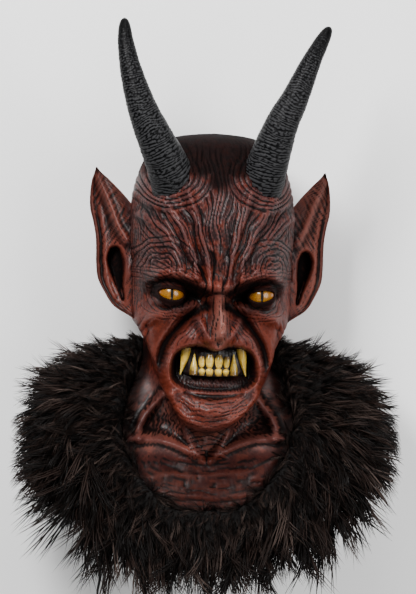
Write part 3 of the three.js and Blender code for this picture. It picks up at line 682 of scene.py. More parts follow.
def paintSkin(mesh):  # what the painter did, as values on the points
    x, y, z = unturnHead((pointsOf(mesh) - shift) * 1000).T
    ax = np.abs(x)
    face = ease(120, 170, z) * ease(165, 185, y)
    chest = fade(128, 160, y)
    neck = ease(140, 150, y) * fade(215, 240, y) * (1 - face)
    small, large = crevices(mesh, 3), crevices(mesh, 22) * (1 - 0.8 * chest) * (1 - 0.6 * neck)
    quiet = 1 - 0.2 * chest
    # cavity: black wash in the fine creases, and painted shade in the broad hollows (large)
    cavity = (clamped(small / 0.32) * 0.75 + clamped(large / 1.4) * 0.5) * quiet
    crest = (clamped(-small / 0.3) * 0.6 + clamped(-large / 1.4) * (0.5 - 0.35 * ease(312, 330, y))) * quiet
    chin = mound(x, y, (0, 190), (34, 16)) * face * 0.45
    noseTop = mound(x, y, (nose["lean"], 285), (6, 28)) * 0.95 * face
    onCrus = bump(distanceTo(ear["crus"], ax, y), 3.5)
    leftEar, rightEar, ears = (ease(88, 100, side) for side in (-x, x, ax))
    warmth = most(
        mound(ax, y, (60, 270), (20, 34)) * face,
        chin,
        bump(offRing(x, y), 4) * face,
        bump(fromFold(chestFolds["collar bone"][0], x, y), 4) * (1 - ease(45, 78, ax) * 0.8),
        mound(ax, y, (50, 338), (26, 7)) * 0.35 * face,
        noseTop,
        0.4 * ears,
        rightEar)
    dusty = most(
        ease(326, 348, y) * fade(88, 94, ax),
        fade(0.9, 1.1, mouthReach(x, y)) * face,
        mound(ax, y, (20, 283), (15, 20)) * 0.8 * face,
        mound(ax, y, (48, 303), (26, 11)) * face,
        chin * 0.8 * ease(-20, 25, x),
        neck * 0.8)
    pale = most(
        1.3 * noseTop,
        0.35 * chin * ease(-10, 25, x),
        (0.25 + 0.35 * onCrus) * rightEar + (0.1 + 0.2 * onCrus) * leftEar,
        neck * 0.22,
        chest * 0.06)
    setValues(mesh, cavity=cavity, crest=crest, warmth=clamped(warmth), dusty=dusty, pale=pale,
              wet=fade(0.88, 1.0, mouthReach(x, y)) * face, soot=blackPaintAndShadeAt(x, y, z, face, crest))


def offFur(x, y, z):  # distance to the line where the fur collar starts
    u = np.radians(np.linspace(-180, 180, 181))
    least = np.full(len(x), 1e9)
    for cx, cy, cz in plainSkin(furStart(u), u):
        least = np.minimum(least, (x - cx) ** 2 + (y - cy) ** 2 + (z - cz) ** 2)
    return np.sqrt(least)


sootUnderBrow = [(13, 316), (34, 326), (54, 328), (72, 323)]
blackPaintAndShadeSpots = {  # centre, two radii and strength, on both halves of the face
    "under the eye": ((42, 304), (24, 9.5), 0.9),
    "inner corner": ((25, 315), (10, 9), 1.0),
    # painted shadow under the chin
    "under the chin": ((0, 177), (32, 10), 0.55),
    "under the lip": ((0, 203), (26, 6), 0.5),
    "side of the muzzle": ((24, 284), (9, 11), 0.4),
}


def blackPaintAndShadeAt(x, y, z, face, crest):  # where black paint was sprayed or wiped in, and where shade is painted, 0 to 1
    ax = np.abs(x)
    frownShare, frownFolds = frownField(ax, x, y)
    inGroove = bump(fromFold(faceFolds["cheek groove"][0], x, y), 6.5)
    onFace = most(
        *(mound(ax, y, centre, radii) * strength for centre, radii, strength in blackPaintAndShadeSpots.values()),
        fade(1.7, 2.7, almondReach(x, y)),  # lids
        bump(distanceTo(sootUnderBrow, ax, y), 5.5),
        inGroove * ease(222, 250, y) * 0.85,
        bump(fromFold(faceFolds["outer cheek groove"][0], x, y), 3.5) * 0.4,
        mound(np.abs(fromNose(x, y)), y, (11, 298), (4, 14)) * 0.45,  # sides of the nose
        fade(0.92, 1.02, mouthReach(x, y)) * (0.68 + 0.22 * ease(220, 232, y)),
        bump(y - 316 + 0.012 * x * x, 3) * bump(ax, 15) * 0.85) * face  # root of the nose
    onEar = most(
        fade(0.7, 1.1, conchaReach(ax, y)),
        np.maximum(ease(405, 440, y) * 0.5, fade(1, 6, rimAt(y) - ax) * 0.6),
        0.5 * ease(3, 8, distanceTo(ear["crus"], ax, y)) * ease(345, 375, y)
        * (1 - 0.5 * ease(1, 14, ax - 73 - 0.6 * np.maximum(y - 355, 0)))) * ease(86, 92, ax)
    return clamped(most(
        onFace,
        1.15 * ease(422, 450, y) * (1 - 0.3 * ease(45, 70, ax)),  # crown
        bump(ax, 20) * ease(402, 436, y),  # its peak over the forehead
        0.62 * ease(316, 338, y) * (1 - 0.75 * clamped(crest * 1.6)),  # forehead, but for its ridges
        clamped(frownShare) * np.clip(1.15 - 1.35 * frownFolds, 0, 0.95) * face,
        onEar,
        fade(1, 11 + 15 * ease(35, 75, ax), offFur(x, y, z)) * fade(250, 280, y) * 0.97,  # along the fur
        0.66 * fade(135, 160, y),  # chest
        ease(48, 80, ax) * fade(190, 280, y) * fade(140, 175, z) * 0.38,  # painted shade down the sides of the neck
        fade(160, 176, z) * ease(150, 170, y) * fade(200, 230, y) * fade(50, 70, ax) * 0.2,  # painted shade under the jaw
        fade(40, 110, z) * 0.5))  # back, darker low down towards the floor


# Node trees
def pick(sockets, name):  # a node can have several sockets of one name, with only one in use
    if isinstance(name, int):
        return sockets[name]
    return next(socket for socket in sockets if socket.enabled and socket.name == name)


def assign(tree, sockets, given):  # sets or links the sockets that are named
    for name, value in given.items():
        socket = pick(sockets, name)
        if isinstance(value, Signal):
            tree.links.new(value.socket, socket)
        else:
            socket.default_value = (*value, 1) if socket.type == "RGBA" else value


def wired(tree, kind, given, output=0, **settings):  # adds a node and returns one of its outputs
    made = tree.nodes.new(kind)
    for name, value in settings.items():
        setattr(made, name, value)
    assign(tree, made.inputs, given)
    return Signal(tree, pick(made.outputs, output)) if len(made.outputs) else None


class Signal:  # an output that can be reckoned with like a number
    def __init__(self, tree, socket):
        self.tree, self.socket = tree, socket

    def also(self, name):  # another output of the same node
        return Signal(self.tree, pick(self.socket.node.outputs, name))

    def maths(self, operation, other=0.0):
        return wired(self.tree, "ShaderNodeMath", {0: self, 1: other}, operation=operation)

    def __add__(self, other):
        return self.maths("ADD", other)

    def __sub__(self, other):
        return self.maths("SUBTRACT", other)

    def __mul__(self, other):
        return self.maths("MULTIPLY", other)

    def step(self, low, high, toLow=0.0, toHigh=1.0):
        return wired(self.tree, "ShaderNodeMapRange", {
            "Value": self, "From Min": low, "From Max": high, "To Min": toLow, "To Max": toHigh,
        }, interpolation_type="SMOOTHSTEP")


def noiseAt(tree, scale, detail=3.0, roughness=0.55, place=None):
    place = place or wired(tree, "ShaderNodeTexCoord", {}, "Object")
    return wired(tree, "ShaderNodeTexNoise", {
        "Vector": place, "Scale": scale, "Detail": detail, "Roughness": roughness})


def mixed(tree, share, a, b):  # a colour between two
    return wired(tree, "ShaderNodeMix", {0: share, 6: a, 7: b}, 2, data_type="RGBA")


def dryBrushGroup():  # streaks of paint that catch on raised places, and specks that break up any coat
    group = bpy.data.node_groups.new("dry brushed paint", "ShaderNodeTree")
    for name, value in (("Crest", 0.0), ("Scale", 220.0), ("Coverage", 0.5)):
        group.interface.new_socket(name, in_out="INPUT", socket_type="NodeSocketFloat").default_value = value
    for name in ("Brushed", "Specks"):
        group.interface.new_socket(name, in_out="OUTPUT", socket_type="NodeSocketFloat")
    crest = wired(group, "NodeGroupInput", {}, "Crest")
    scale = crest.also("Scale")
    raised = crest * (noiseAt(group, scale, 4, 0.65) + crest.also("Coverage"))
    wired(group, "NodeGroupOutput", {
        "Brushed": raised.step(0.25, 0.75), "Specks": noiseAt(group, scale * 3.1, 2, 0.5).step(0.52, 0.68)})
    return group


dryBrush = dryBrushGroup()


class Look:  # a material whose colour is laid on coat by coat
    def __init__(self, name, base):
        self.material = bpy.data.materials.new(name)
        self.material.use_nodes = True
        self.tree = self.material.node_tree
        self.base = base

    def value(self, name, output="Fac"):
        return wired(self.tree, "ShaderNodeAttribute", {}, output, attribute_name=name)

    def noise(self, *settings):
        return noiseAt(self.tree, *settings)

    def brushed(self, scale, coverage):
        given = {"Crest": self.value("crest"), "Scale": scale, "Coverage": coverage}
        return wired(self.tree, "ShaderNodeGroup", given, "Brushed", node_tree=dryBrush)

    def coat(self, share, colour):
        self.base = mixed(self.tree, share, self.base, colour)

    def bumped(self, height, strength, distance):
        given = {"Strength": strength, "Distance": distance, "Height": height}
        return wired(self.tree, "ShaderNodeBump", given)

    def finish(self, given):
        assign(self.tree, self.tree.nodes["Principled BSDF"].inputs, {"Base Color": self.base, **given})
        return self.material


latexPaint = {
    "deep": (0.016, 0.0034, 0.0028), "red": (0.058, 0.0085, 0.006), "orange": (0.135, 0.022, 0.0095),
    "plum": (0.012, 0.0046, 0.0050), "pink": (0.078, 0.027, 0.024), "rose": (0.125, 0.029, 0.019),
    "pale": (0.26, 0.13, 0.105), "black": (0.0019, 0.0011, 0.0011),
}


def latexMaterial():
    paint = latexPaint
    look = Look("painted latex", paint["deep"])
    cloud, patch, dust = look.noise(28, 3), look.noise(95, 4, 0.6), look.value("dusty")
    look.coat(cloud.step(0.38, 0.62), paint["red"])
    look.coat(patch.step(0.42, 0.66) * 0.55, paint["orange"])
    look.coat(dust * patch.step(0.62, 0.40) * 0.75, paint["plum"])
    look.coat(look.value("warmth") * cloud.step(0.25, 0.75, 0.35, 0.8), paint["orange"])
    look.coat(look.value("pale") * patch.step(0.3, 0.7, 0.25, 0.8), paint["pale"])
    crest = look.brushed(230, 0.75)
    look.coat(crest * 0.62, mixed(look.tree, dust, paint["rose"], paint["pink"]))
    look.coat(crest.also("Specks") * 0.25, paint["deep"])
    # black wash in the fine creases, and painted shade in the broad hollows
    look.coat((look.value("cavity") + (patch - 0.5) * 0.5).step(0.12, 0.72) * 0.93, paint["black"])
    # black airbrushed paint, with painted shade under the chin and jaw and down the sides of the neck
    soot = (look.value("soot") + (cloud - 0.5) * 0.35).step(0.1, 1.0)
    look.coat(soot * 0.93, paint["black"])
    return look.finish({
        "Roughness": patch.step(0.3, 0.7, 0.42, 0.6).maths("MAXIMUM", soot.step(0.2, 0.9, 0.4, 0.8)),
        "Specular IOR Level": 0.04,
        "Coat Weight": soot.step(0.0, 1.0, 0.27, 0.01) + look.value("wet") * 0.2,
        "Coat Roughness": 0.38,
        "Normal": look.bumped(look.noise(900, 3, 0.6) + look.noise(330, 3) * 1.4, 0.35, 0.0007),
    })


# Horns
horn = {"baseRadius": 26.4, "taper": 0.78, "sides": 84, "rings": 250, "ridge": 0.95,
        "seeds": {"left": 200, "right": 230},
        "left": [(-41, 416, 150), (-50.5, 441.5, 170), (-68.5, 476, 184), (-83.5, 508, 187.5),
                 (-95, 543.5, 186), (-101.7, 576, 181), (-103.3, 601, 174)],
        "right": [(40, 416, 150), (48.5, 444, 170), (62, 490, 185), (77.7, 524, 187.5), (92, 558, 185),
                  (102.5, 579, 180), (113, 598, 173)]}
# The valley colour is painted shade for the hollows between the rings.
hornPaint = {"black": (0.0012, 0.0012, 0.0014), "iron": (0.0022, 0.0022, 0.0025),
             "chalk": (0.038, 0.038, 0.040), "valley": (0.0008, 0.0008, 0.0009)}


def evenPath(points, count):  # points at even distances along a smooth line, with the length so far
    dense = splineAt(np.array(points, float), np.linspace(0, len(points) - 1, 600))
    lengths = np.concatenate([[0], np.cumsum(np.linalg.norm(np.diff(dense, axis=0), axis=1))])
    wanted = np.linspace(0, lengths[-1], count)
    return np.stack([np.interp(wanted, lengths, dense[:, k]) for k in range(3)], -1), wanted


def hornMesh(side, material):
    centres, along = evenPath(horn[side], horn["rings"] + 1)
    ahead = unit(np.gradient(centres, axis=0))
    out = unit(np.cross([0, 0, 1], ahead))
    up = np.cross(ahead, out)
    far, t = along[:, None], (along / along[-1])[:, None]
    turnShare = np.arange(horn["sides"]) / horn["sides"]
    seed = horn["seeds"][side]

    def wrapped(pattern):  # a pattern made seamless round the horn
        late = ease(0.8, 1, turnShare)
        return pattern(turnShare) * (1 - late) + pattern(turnShare - 1) * late

    wave = wrapped(lambda s: grain(s * 5, far / 12, seed)) * 0.9
    knots = wrapped(lambda s: grain(s * 30, far / 2.6, seed + 3)) * 0.4
    close = wrapped(lambda s: wrinkles(far / 3.0 + wave, s * 5, seed + 1, 0.4, 0.8)) + knots
    broad = wrapped(lambda s: grain(far / 11, s * 3, seed + 5))
    radius = horn["baseRadius"] * (1 - horn["taper"] * t) * np.sqrt(1 - np.minimum(t, 0.998) ** 40)
    radius = radius + (horn["ridge"] * (close - 0.6) + 0.5 * broad) * (1 - t ** 10) * (1 - 0.55 * t)
    a = -math.pi / 2 + 2 * math.pi * turnShare
    rings = turnHead(centres[:, None] + out[:, None] * (radius * np.cos(a))[..., None]
                     + up[:, None] * (radius * np.sin(a))[..., None])
    ends = turnHead(centres[0]), turnHead(centres[-1] + ahead[-1] * 0.4)
    made = castOf("horn_" + side + "_cast", [ends[0], *rings[:-1], ends[1]], material)
    small = crevices(made.data, 3)
    setValues(made.data, cavity=clamped(small / 0.16), crest=clamped(-small / 0.15))
    return made


def hornMaterial():
    look = Look("black horn", hornPaint["black"])
    patch = look.noise(60, 4, 0.6)
    look.coat(patch.step(0.35, 0.65), hornPaint["iron"])
    look.coat(look.brushed(340, 0.48) * 0.62, hornPaint["chalk"])
    # painted shade in the valleys between the rings
    look.coat(look.value("cavity") * 0.9, hornPaint["valley"])
    return look.finish({"Roughness": patch.step(0.3, 0.7, 0.34, 0.5), "Specular IOR Level": 0.06,
                        "Normal": look.bumped(look.noise(700, 3), 0.3, 0.0005)})


# Eyes
eyePaint = {"amber": (0.11, 0.030, 0.002), "yellow": (0.29, 0.132, 0.005), "rust": (0.24, 0.075, 0.004),
            "edge": (0.03, 0.012, 0.006), "pupil": (0.002, 0.002, 0.002)}


def eyeMesh(side, material):
    sign = -1 if side == "left" else 1
    polar = eye["widest"] * np.arange(eye["rows"] + 1)[:, None] / eye["rows"]
    around = turns(eye["columns"])
    local = pointsAt(np.sin(polar) * np.cos(around), np.sin(polar) * np.sin(around), np.cos(polar))
    swell = 1 + 0.03 * np.exp(-((np.sin(polar) / 0.4) ** 2))
    centre = np.array([sign * eye["x"], eye["y"], eye["z"]])
    rings = turnHead(centre + eye["ball"] * local * swell[..., None])
    back = turnHead(centre + np.array([0, 0, eye["ball"] * math.cos(eye["widest"])]))
    made = castOf("eye_" + side + "_glass", [rings[0, 0], *rings[1:], back], material)
    setValues(made.data, gaze=shellOf([local[0, 0], *local[1:], np.zeros(3)])[0])
    return made


def eyeMaterial():
    look = Look("amber eye", eyePaint["amber"])
    across = wired(look.tree, "ShaderNodeSeparateXYZ", {0: look.value("gaze", "Vector")})
    upward = across.also(1)
    across2, upward2 = (s.maths("ABSOLUTE").maths("POWER", 2.0) for s in (across, upward))
    distance = (across2 + upward2).maths("SQRT")
    spoke = upward.maths("ARCTAN2", across)
    ray = wired(look.tree, "ShaderNodeCombineXYZ", {0: spoke * 5.0, 1: distance * 1.6})
    look.coat(look.noise(3.2, 4, 0.6, ray).step(0.32, 0.66), eyePaint["yellow"])
    look.coat(distance.step(0.45, 1.0), eyePaint["rust"])
    look.coat(distance.step(0.80, 1.0), eyePaint["edge"])
    slit = across.maths("ABSOLUTE") + upward2 * 0.22
    look.base = mixed(look.tree, slit.step(0.085, 0.125), eyePaint["pupil"], look.base)
    return look.finish({"Roughness": 0.25, "Specular IOR Level": 0.3, "Coat Weight": 0.35,
                        "Coat Roughness": 0.04})


# Teeth of the right half: root, tip, width at the root, depth, and how wide the tip still is.
teeth = {
    "upper canine": ((28.5, 264), (34.5, 229.5), 12.2, 11, 0.08),
    "lower canine": ((21, 230), (20.5, 252.5), 9.6, 10, 0.08),
    "upper middle incisor": ((4.8, 252), (4.9, 237.0), 9.2, 9, 0.85),
    "upper outer incisor": ((13.2, 250), (12.9, 237.4), 7.4, 9, 0.8),
    "lower middle incisor": ((4.6, 229), (4.7, 237.8), 8.4, 9, 0.9),
    "lower outer incisor": ((12.4, 229.5), (12.6, 237.4), 7.2, 9, 0.85),
}
toothMesh = {"rows": 18, "columns": 20}
arch = {"midZ": 180.0, "radius": 55.0}
gum = {"y": 241.0, "halfWide": 37.0, "high": 18.0, "front": -4.5, "back": -11.0, "rows": 120, "columns": 40}


def archZ(x):
    return arch["midZ"] - arch["radius"] + np.sqrt(arch["radius"] ** 2 - x * x)


def toothRings(root, tip, wide, deep, blunt, side, seed):
    t = np.arange(toothMesh["rows"] + 1)[:, None] / toothMesh["rows"]
    pointed = blunt < 0.5
    x = root[0] + (tip[0] - root[0]) * (t ** 1.6 if pointed else t)
    y = root[1] + (tip[1] - root[1]) * t
    size = 1 - (1 - blunt) * t ** 1.4
    if not pointed:
        closing = np.sqrt(clamped(1 - (np.maximum(t - 0.5, 0) / 0.5) ** 2.6))
        size = size * closing * (0.72 + 0.28 * ease(0, 0.5, t))
    size = np.maximum(size * (1 + 0.05 * np.sin(t * 9 + seed)), 0.03)
    a = turns(toothMesh["columns"])
    z = archZ(x) - 2 + deep / 2 * size * np.sin(a) + 0.25 * np.sin(3 * a + seed) * size
    return capped(turnHead(pointsAt(side * (x + wide / 2 * size * np.cos(a)), y, z)))


def teethMesh(material):
    points, faces, stain = [], [], []
    for side in (1, -1):
        for number, tooth in enumerate(teeth.values()):
            shell, shellFaces = shellOf(toothRings(*tooth, side, number + 3 * side))
            faces += [tuple(len(points) + v for v in f) for f in shellFaces]
            points += [*shell]
            share = np.repeat(np.arange(toothMesh["rows"] + 1) / toothMesh["rows"], toothMesh["columns"])
            stain += [1.0, *(1 - share), 0.0]
    made = meshOf("teeth_ivory", points, faces, material)
    work = bmesh.new()
    work.from_mesh(made.data)
    bmesh.ops.recalc_face_normals(work, faces=work.faces)
    work.to_mesh(made.data)
    work.free()
    setValues(made.data, stain=stain)
    return made


def gumMesh(material):
    share = np.linspace(-1, 1, gum["rows"])[:, None]
    x = gum["halfWide"] * share
    high = gum["high"] - 5 * np.abs(share) ** 3
    c, s = np.cos(turns(gum["columns"])), np.sin(turns(gum["columns"]))
    middle, half = (gum["front"] + gum["back"]) / 2, (gum["front"] - gum["back"]) / 2
    y = gum["y"] + np.where(s > 0, high, high * 0.7) * np.sign(s) * np.abs(s) ** 0.5
    z = archZ(x) + middle + half * np.sign(c) * np.abs(c) ** 0.5
    for root, tip, wide, deep, blunt in teeth.values():
        for side in (1, -1):
            off = np.hypot((x - side * root[0]) / (wide * 0.62), (y - root[1]) / 7.5)
            z = z + np.where(c > 0, 2.6 * np.exp(-off ** 2), 0)
    z = z + np.where(c > 0, 0.5 * grain(x / 3, y / 3, 301), 0)
    return castOf("gums", capped(turnHead(pointsAt(x, y, z))), material)


def toothMaterial():
    look = Look("yellowed ivory", (0.50, 0.30, 0.028))
    patch = look.noise(260, 4, 0.6)
    look.coat(patch.step(0.35, 0.65), (0.66, 0.48, 0.085))
    look.coat((look.value("stain") + (patch - 0.5) * 0.9).step(0.4, 1.0) * 0.95, (0.06, 0.024, 0.004))
    return look.finish({"Roughness": 0.25, "Coat Weight": 0.35, "Coat Roughness": 0.08,
                        "Normal": look.bumped(patch, 0.2, 0.0006)})


def gumMaterial():
    look = Look("wet black gum", (0.003, 0.002, 0.002))
    patch = look.noise(180, 4, 0.6)
    look.coat(patch.step(0.45, 0.7), (0.018, 0.005, 0.005))
    return look.finish({"Roughness": 0.4, "Specular IOR Level": 0.3,
                        "Normal": look.bumped(patch, 0.4, 0.001)})


# Fur
fur = {"innerOffset": 0.5, "columns": 200, "rows": 40, "emitterColumns": 70, "emitterRows": 34,
       "length": 50.0, "cover": 0.8, "swing": (0.22, 0.22, 1.1), "middleY": 205.0,
       "keptIn": {"side": (0.198, 0.012), "hem": (0.312, 0.012), "floor": (-0.004, 0.004),
                  "top": (0.212, 0.014)},
       "pieces": {"front": (-52, 52, 2350, 1), "left": (-128, -52, 2350, 2), "right": (52, 128, 2350, 3),
                  "back": (128, 232, 1100, 4)}}
lock = {"kinds": 7, "strands": 5, "levels": (0.0, 0.38, 0.72), "spread": 0.055, "length": (0.72, 1.0),
        "bend": (0.12, 0.34), "drift": 0.035, "thick": (0.0085, 0.0155)}  # sizes for a lock 1 long
# The root colour is painted shade deep in the pile, towards the roots of the hair.
furPaint = {"root": (0.0012, 0.0009, 0.0009), "black": (0.0032, 0.0021, 0.0018),
            "brown": (0.024, 0.0135, 0.0105), "glint": (0.085, 0.060, 0.050)}


def furStart(u):
    c = np.cos(u)
    return np.where(c >= 0, np.minimum(15.8 + 5 * np.abs(c) ** 1.4, 20.7), 15.8 - 1.2 * c)


def furSection(u, share):  # the section of the skin at a share of the way from the fur's start to the hem
    return furStart(u) + (hemRing - furStart(u)) * np.minimum(share, 1)


def hideHeight(u, share):  # how far the fur's backing stands off the bib
    back = ease(0, -0.6, np.cos(u))
    return 6 + np.sin(u) ** 2 * (4 + 9 * np.sin(math.pi * share)) * (1 - 0.6 * back)


def hideSurface(u, share):
    t = furSection(u, share)
    normal = plainNormal(t, u)
    taper = np.sqrt(clamped(share / 0.12))
    past = clamped(share - 1) * 40
    flow = unit(plainSkin(t, u) - plainSkin(t - 0.4, u))
    lift = hideHeight(u, np.minimum(share, 1)) * taper * np.sqrt(clamped(1 - (past / 12) ** 2))
    points = plainSkin(t, u) + normal * (fur["innerOffset"] + lift)[..., None] + flow * past[..., None]
    return turnHead(points), flow, normal


def hideMesh(material):
    columns = fur["columns"]
    around = turns(columns)
    share = np.concatenate([np.linspace(0, 1, fur["rows"]), np.linspace(1.03, 1.3, 7)])
    share, u = np.broadcast_arrays(share[:, None], around)
    rings = list(hideSurface(u, share)[0])
    for s in (1.0, 0.66, 0.33):
        t = furSection(around, s)
        rings.append(turnHead(plainSkin(t, around) + plainNormal(t, around) * fur["innerOffset"]))
    points, faces = shellOf(rings)
    last = (len(rings) - 1) * columns
    faces += [(last + j, j, (j + 1) % columns, last + (j + 1) % columns) for j in range(columns)]
    points[:, 2] = np.maximum(points[:, 2], 0.6)
    return facingOut(meshOf("fur_backing", points, faces, material))


def lockOfHair(kind):  # a few hairs that spring from one place and close up towards the tip, along +Z
    rng = np.random.default_rng(500 + kind)
    points, faces, along = [], [], []
    sway = (0.05 + 0.25 * rng.random()) * (1 if kind % 2 else -1)
    for strand in range(lock["strands"]):
        around = 2 * math.pi * (strand + rng.random() * 0.6) / lock["strands"]
        spread = lock["spread"] * rng.uniform(0.4, 1.0)
        root = np.array([math.cos(around), math.sin(around), 0]) * spread
        length = rng.uniform(*lock["length"])
        bend = rng.uniform(*lock["bend"])
        drift = rng.normal(0, lock["drift"], 2)
        thick = rng.uniform(*lock["thick"])
        start = len(points)
        for level in lock["levels"]:
            middle = root * (1 - 0.75 * level ** 0.8) + np.array([
                -bend * level ** 2 + drift[0] * level, sway * level ** 2 + drift[1] * level, length * level])
            radius = thick * (1 - 0.45 * level) * (0.7 if level == 0 else 1)
            points += [middle + radius * np.array([math.cos(a), math.sin(a), 0]) for a in turns(3) + around]
        points.append(np.array([-bend + drift[0], sway + drift[1], length]) + root * 0.25)
        along += [*np.repeat(lock["levels"], 3), 1.0]
        for level in (start, start + 3, start + 6):
            for a, b in ((0, 1), (1, 2), (2, 0)):
                tip = (level + b + 3, level + a + 3) if level < start + 6 else (level + 3,)
                faces.append((level + a, level + b, *tip))
        faces.append((start + 2, start + 1, start))
    mesh = bpy.data.meshes.new("lock")
    mesh.from_pydata([p.tolist() for p in points], [], faces)
    mesh.shade_smooth()
    setValues(mesh, tipward=along)
    return mesh


def pileTree():  # locks of hair scattered over a surface and combed along its stored direction
    tree = bpy.data.node_groups.new("fur pile", "GeometryNodeTree")
    sockets = {}
    for name, kind in (("Surface", "Geometry"), ("Locks", "Collection"), ("Density", "Float"),
                       ("Length", "Float"), ("Seed", "Int"), ("Shagginess", "Float"), ("Hair", "Material")):
        made = tree.interface.new_socket(name, in_out="INPUT", socket_type="NodeSocket" + kind)
        sockets[name] = made.identifier
    tree.interface.new_socket("Fur", in_out="OUTPUT", socket_type="NodeSocketGeometry")

    def stored(name, kind="FLOAT"):
        return wired(tree, "GeometryNodeInputNamedAttribute", {"Name": name}, "Attribute", data_type=kind)

    def chance(extra, kind="FLOAT", low=0.0, high=1.0):
        seed = wired(tree, "FunctionNodeIntegerMath", {0: given.also("Seed"), 1: extra}, operation="ADD")
        limits = {"Min": low, "Max": high, "Seed": seed}
        return wired(tree, "FunctionNodeRandomValue", limits, "Value", data_type=kind)

    def aligned(inputs, **settings):
        return wired(tree, "FunctionNodeAlignRotationToVector", inputs, **settings)

    given = wired(tree, "NodeGroupInput", {}, "Surface")
    scatter = wired(tree, "GeometryNodeDistributePointsOnFaces", {
        "Mesh": given, "Density": stored("crowding") * given.also("Density"), "Seed": given.also("Seed"),
    }, "Points")
    combed = aligned({"Vector": stored("comb", "FLOAT_VECTOR")}, axis="Z")
    combed = aligned({"Rotation": combed, "Vector": scatter.also("Normal")}, axis="X", pivot_axis="Z")
    swing = wired(tree, "ShaderNodeVectorMath", {
        0: chance(7, "FLOAT_VECTOR", (-1, -1, -1), (1, 1, 1)), 1: fur["swing"]}, operation="MULTIPLY")
    swing = wired(tree, "ShaderNodeVectorMath", {
        0: swing, "Scale": given.also("Shagginess")}, operation="SCALE")
    loose = wired(tree, "FunctionNodeRotateRotation", {
        "Rotation": combed, "Rotate By": wired(tree, "FunctionNodeEulerToRotation", {0: swing})},
        rotation_space="LOCAL")
    wisps = chance(13).maths("POWER", 2.0) * 0.9 + 0.58
    kinds = wired(tree, "GeometryNodeCollectionInfo", {
        "Separate Children": True, "Reset Children": True, "Collection": given.also("Locks")})
    planted = wired(tree, "GeometryNodeInstanceOnPoints", {
        "Pick Instance": True, "Points": scatter, "Instance": kinds, "Rotation": loose,
        "Scale": stored("pile") * wisps * given.also("Length")})
    tinted = wired(tree, "GeometryNodeStoreNamedAttribute", {
        "Name": "tint", "Geometry": planted, "Value": chance(29)}, data_type="FLOAT", domain="INSTANCE")
    solid = wired(tree, "GeometryNodeRealizeInstances", {0: tinted})
    painted = wired(tree, "GeometryNodeSetMaterial", {"Geometry": solid, "Material": given.also("Hair")})
    wired(tree, "NodeGroupOutput", {"Fur": painted})
    return tree, sockets


def emitterMesh(name, low, high):  # the stretch of backing that one piece of fur grows from
    columns = fur["emitterColumns"]
    share = np.concatenate([np.linspace(0.0, 1, fur["emitterRows"]), [1.08, 1.16, 1.24]])
    share, u = np.broadcast_arrays(share[:, None], np.radians(np.linspace(low, high, columns)))
    points, flow, normal = hideSurface(u, share)
    x, y = points[..., 0], points[..., 1]
    side, back = np.sin(u) ** 2, ease(0, -0.6, np.cos(u))
    away = unit(pointsAt(x, y - fur["middleY"], 0))
    comb = flow * (1 - 0.5 * side[..., None]) + away * (0.5 * side[..., None])
    comb = comb * ease(-0.12, 0.12, share - 0.05)[..., None] - flow * fade(0.02, 0.12, share)[..., None] * 0.4
    parting = 0.55 * grain(x / 19, y / 19, 401) + 0.45 * grain(u * 9, share * 2.5, 402)
    comb = unit(comb + np.cross(normal, flow) * parting[..., None])
    lean = (0.40 + 0.34 * side - 0.25 * back) * (1 - 0.35 * ease(0.9, 1.2, share))
    lean = np.clip(lean + 0.22 * grain(x / 15, y / 15, 403), 0.12, 0.9)
    comb = comb * np.sqrt(1 - lean ** 2)[..., None] + normal * lean[..., None]
    corner = np.sin(2 * u) ** 2 * ease(0, 0.5, np.cos(u))
    length = (0.34 + 0.66 * ease(0.05, 0.6, share)) * (0.9 - 0.2 * side + 0.42 * corner) * (1 - 0.3 * back)
    length = length * (1 + 0.35 * ease(0.3, 0.9, share) * grain(u * 13, share * 2.5, 404))
    comb[..., 2] = np.maximum(comb[..., 2], -(points[..., 2] - 3) / (fur["length"] * length))
    points[..., 2] = np.maximum(points[..., 2], 1.0)
    faces = [(i * columns + j, i * columns + j + 1, (i + 1) * columns + j + 1, (i + 1) * columns + j)
             for i in range(share.shape[0] - 1) for j in range(columns - 1)]
    made = meshOf(name, points.reshape(-1, 3), faces)
    if np.einsum("ij,ij->i", normalsOf(made.data), normal.reshape(-1, 3)).mean() < 0:
        made.data.flip_normals()
    setValues(made.data, comb=unit(comb).reshape(-1, 3), pile=length.ravel(),
              crowding=(1 + 2.5 * fade(0.0, 0.2, share)).ravel())
    return made


def surfaceArea(mesh):
    at = trianglesOf(mesh)
    return np.linalg.norm(np.cross(at[:, 1] - at[:, 0], at[:, 2] - at[:, 0]), axis=1).sum() / 2


def keptBelow(values, limit):  # past the limit's start the values close up, and never leave its room
    start, room = fur["keptIn"][limit]
    past = np.maximum(values - start, 0)
    return np.minimum(values, start) + room * (1 - np.exp(-past / room))


def growFur(material):
    tree, sockets = pileTree()
    locks = bpy.data.collections.new("locks")
    for kind in range(lock["kinds"]):
        locks.objects.link(bpy.data.objects.new(f"lock{kind}", lockOfHair(kind)))
    grown = []
    for name, (low, high, count, seed) in fur["pieces"].items():
        surface = emitterMesh("backing for " + name, low, high)
        pile = surface.modifiers.new("pile", "NODES")
        pile.node_group = tree
        given = {"Locks": locks, "Density": fur["cover"] * count / surfaceArea(surface.data),
                 "Length": fur["length"] / 1000, "Seed": seed, "Shagginess": 1.0, "Hair": material}
        for key, value in given.items():
            pile[sockets[key]] = value
        mesh = meshApplied(surface)
        grown.append(placed("fur_" + name, mesh))
        x, y, z = pointsOf(mesh).T
        z = keptBelow(-keptBelow(-z, "floor"), "top")
        at = pointsAt(np.sign(x) * keptBelow(np.abs(x), "side"), -keptBelow(-y, "hem"), z)
        mesh.vertices.foreach_set("co", at.astype(np.float32).ravel())
        mesh.update()
        bpy.data.objects.remove(surface)
        print("fur", name, len(mesh.polygons), "faces")
    for made in list(locks.objects):
        bpy.data.objects.remove(made)
    bpy.data.collections.remove(locks)
    return grown


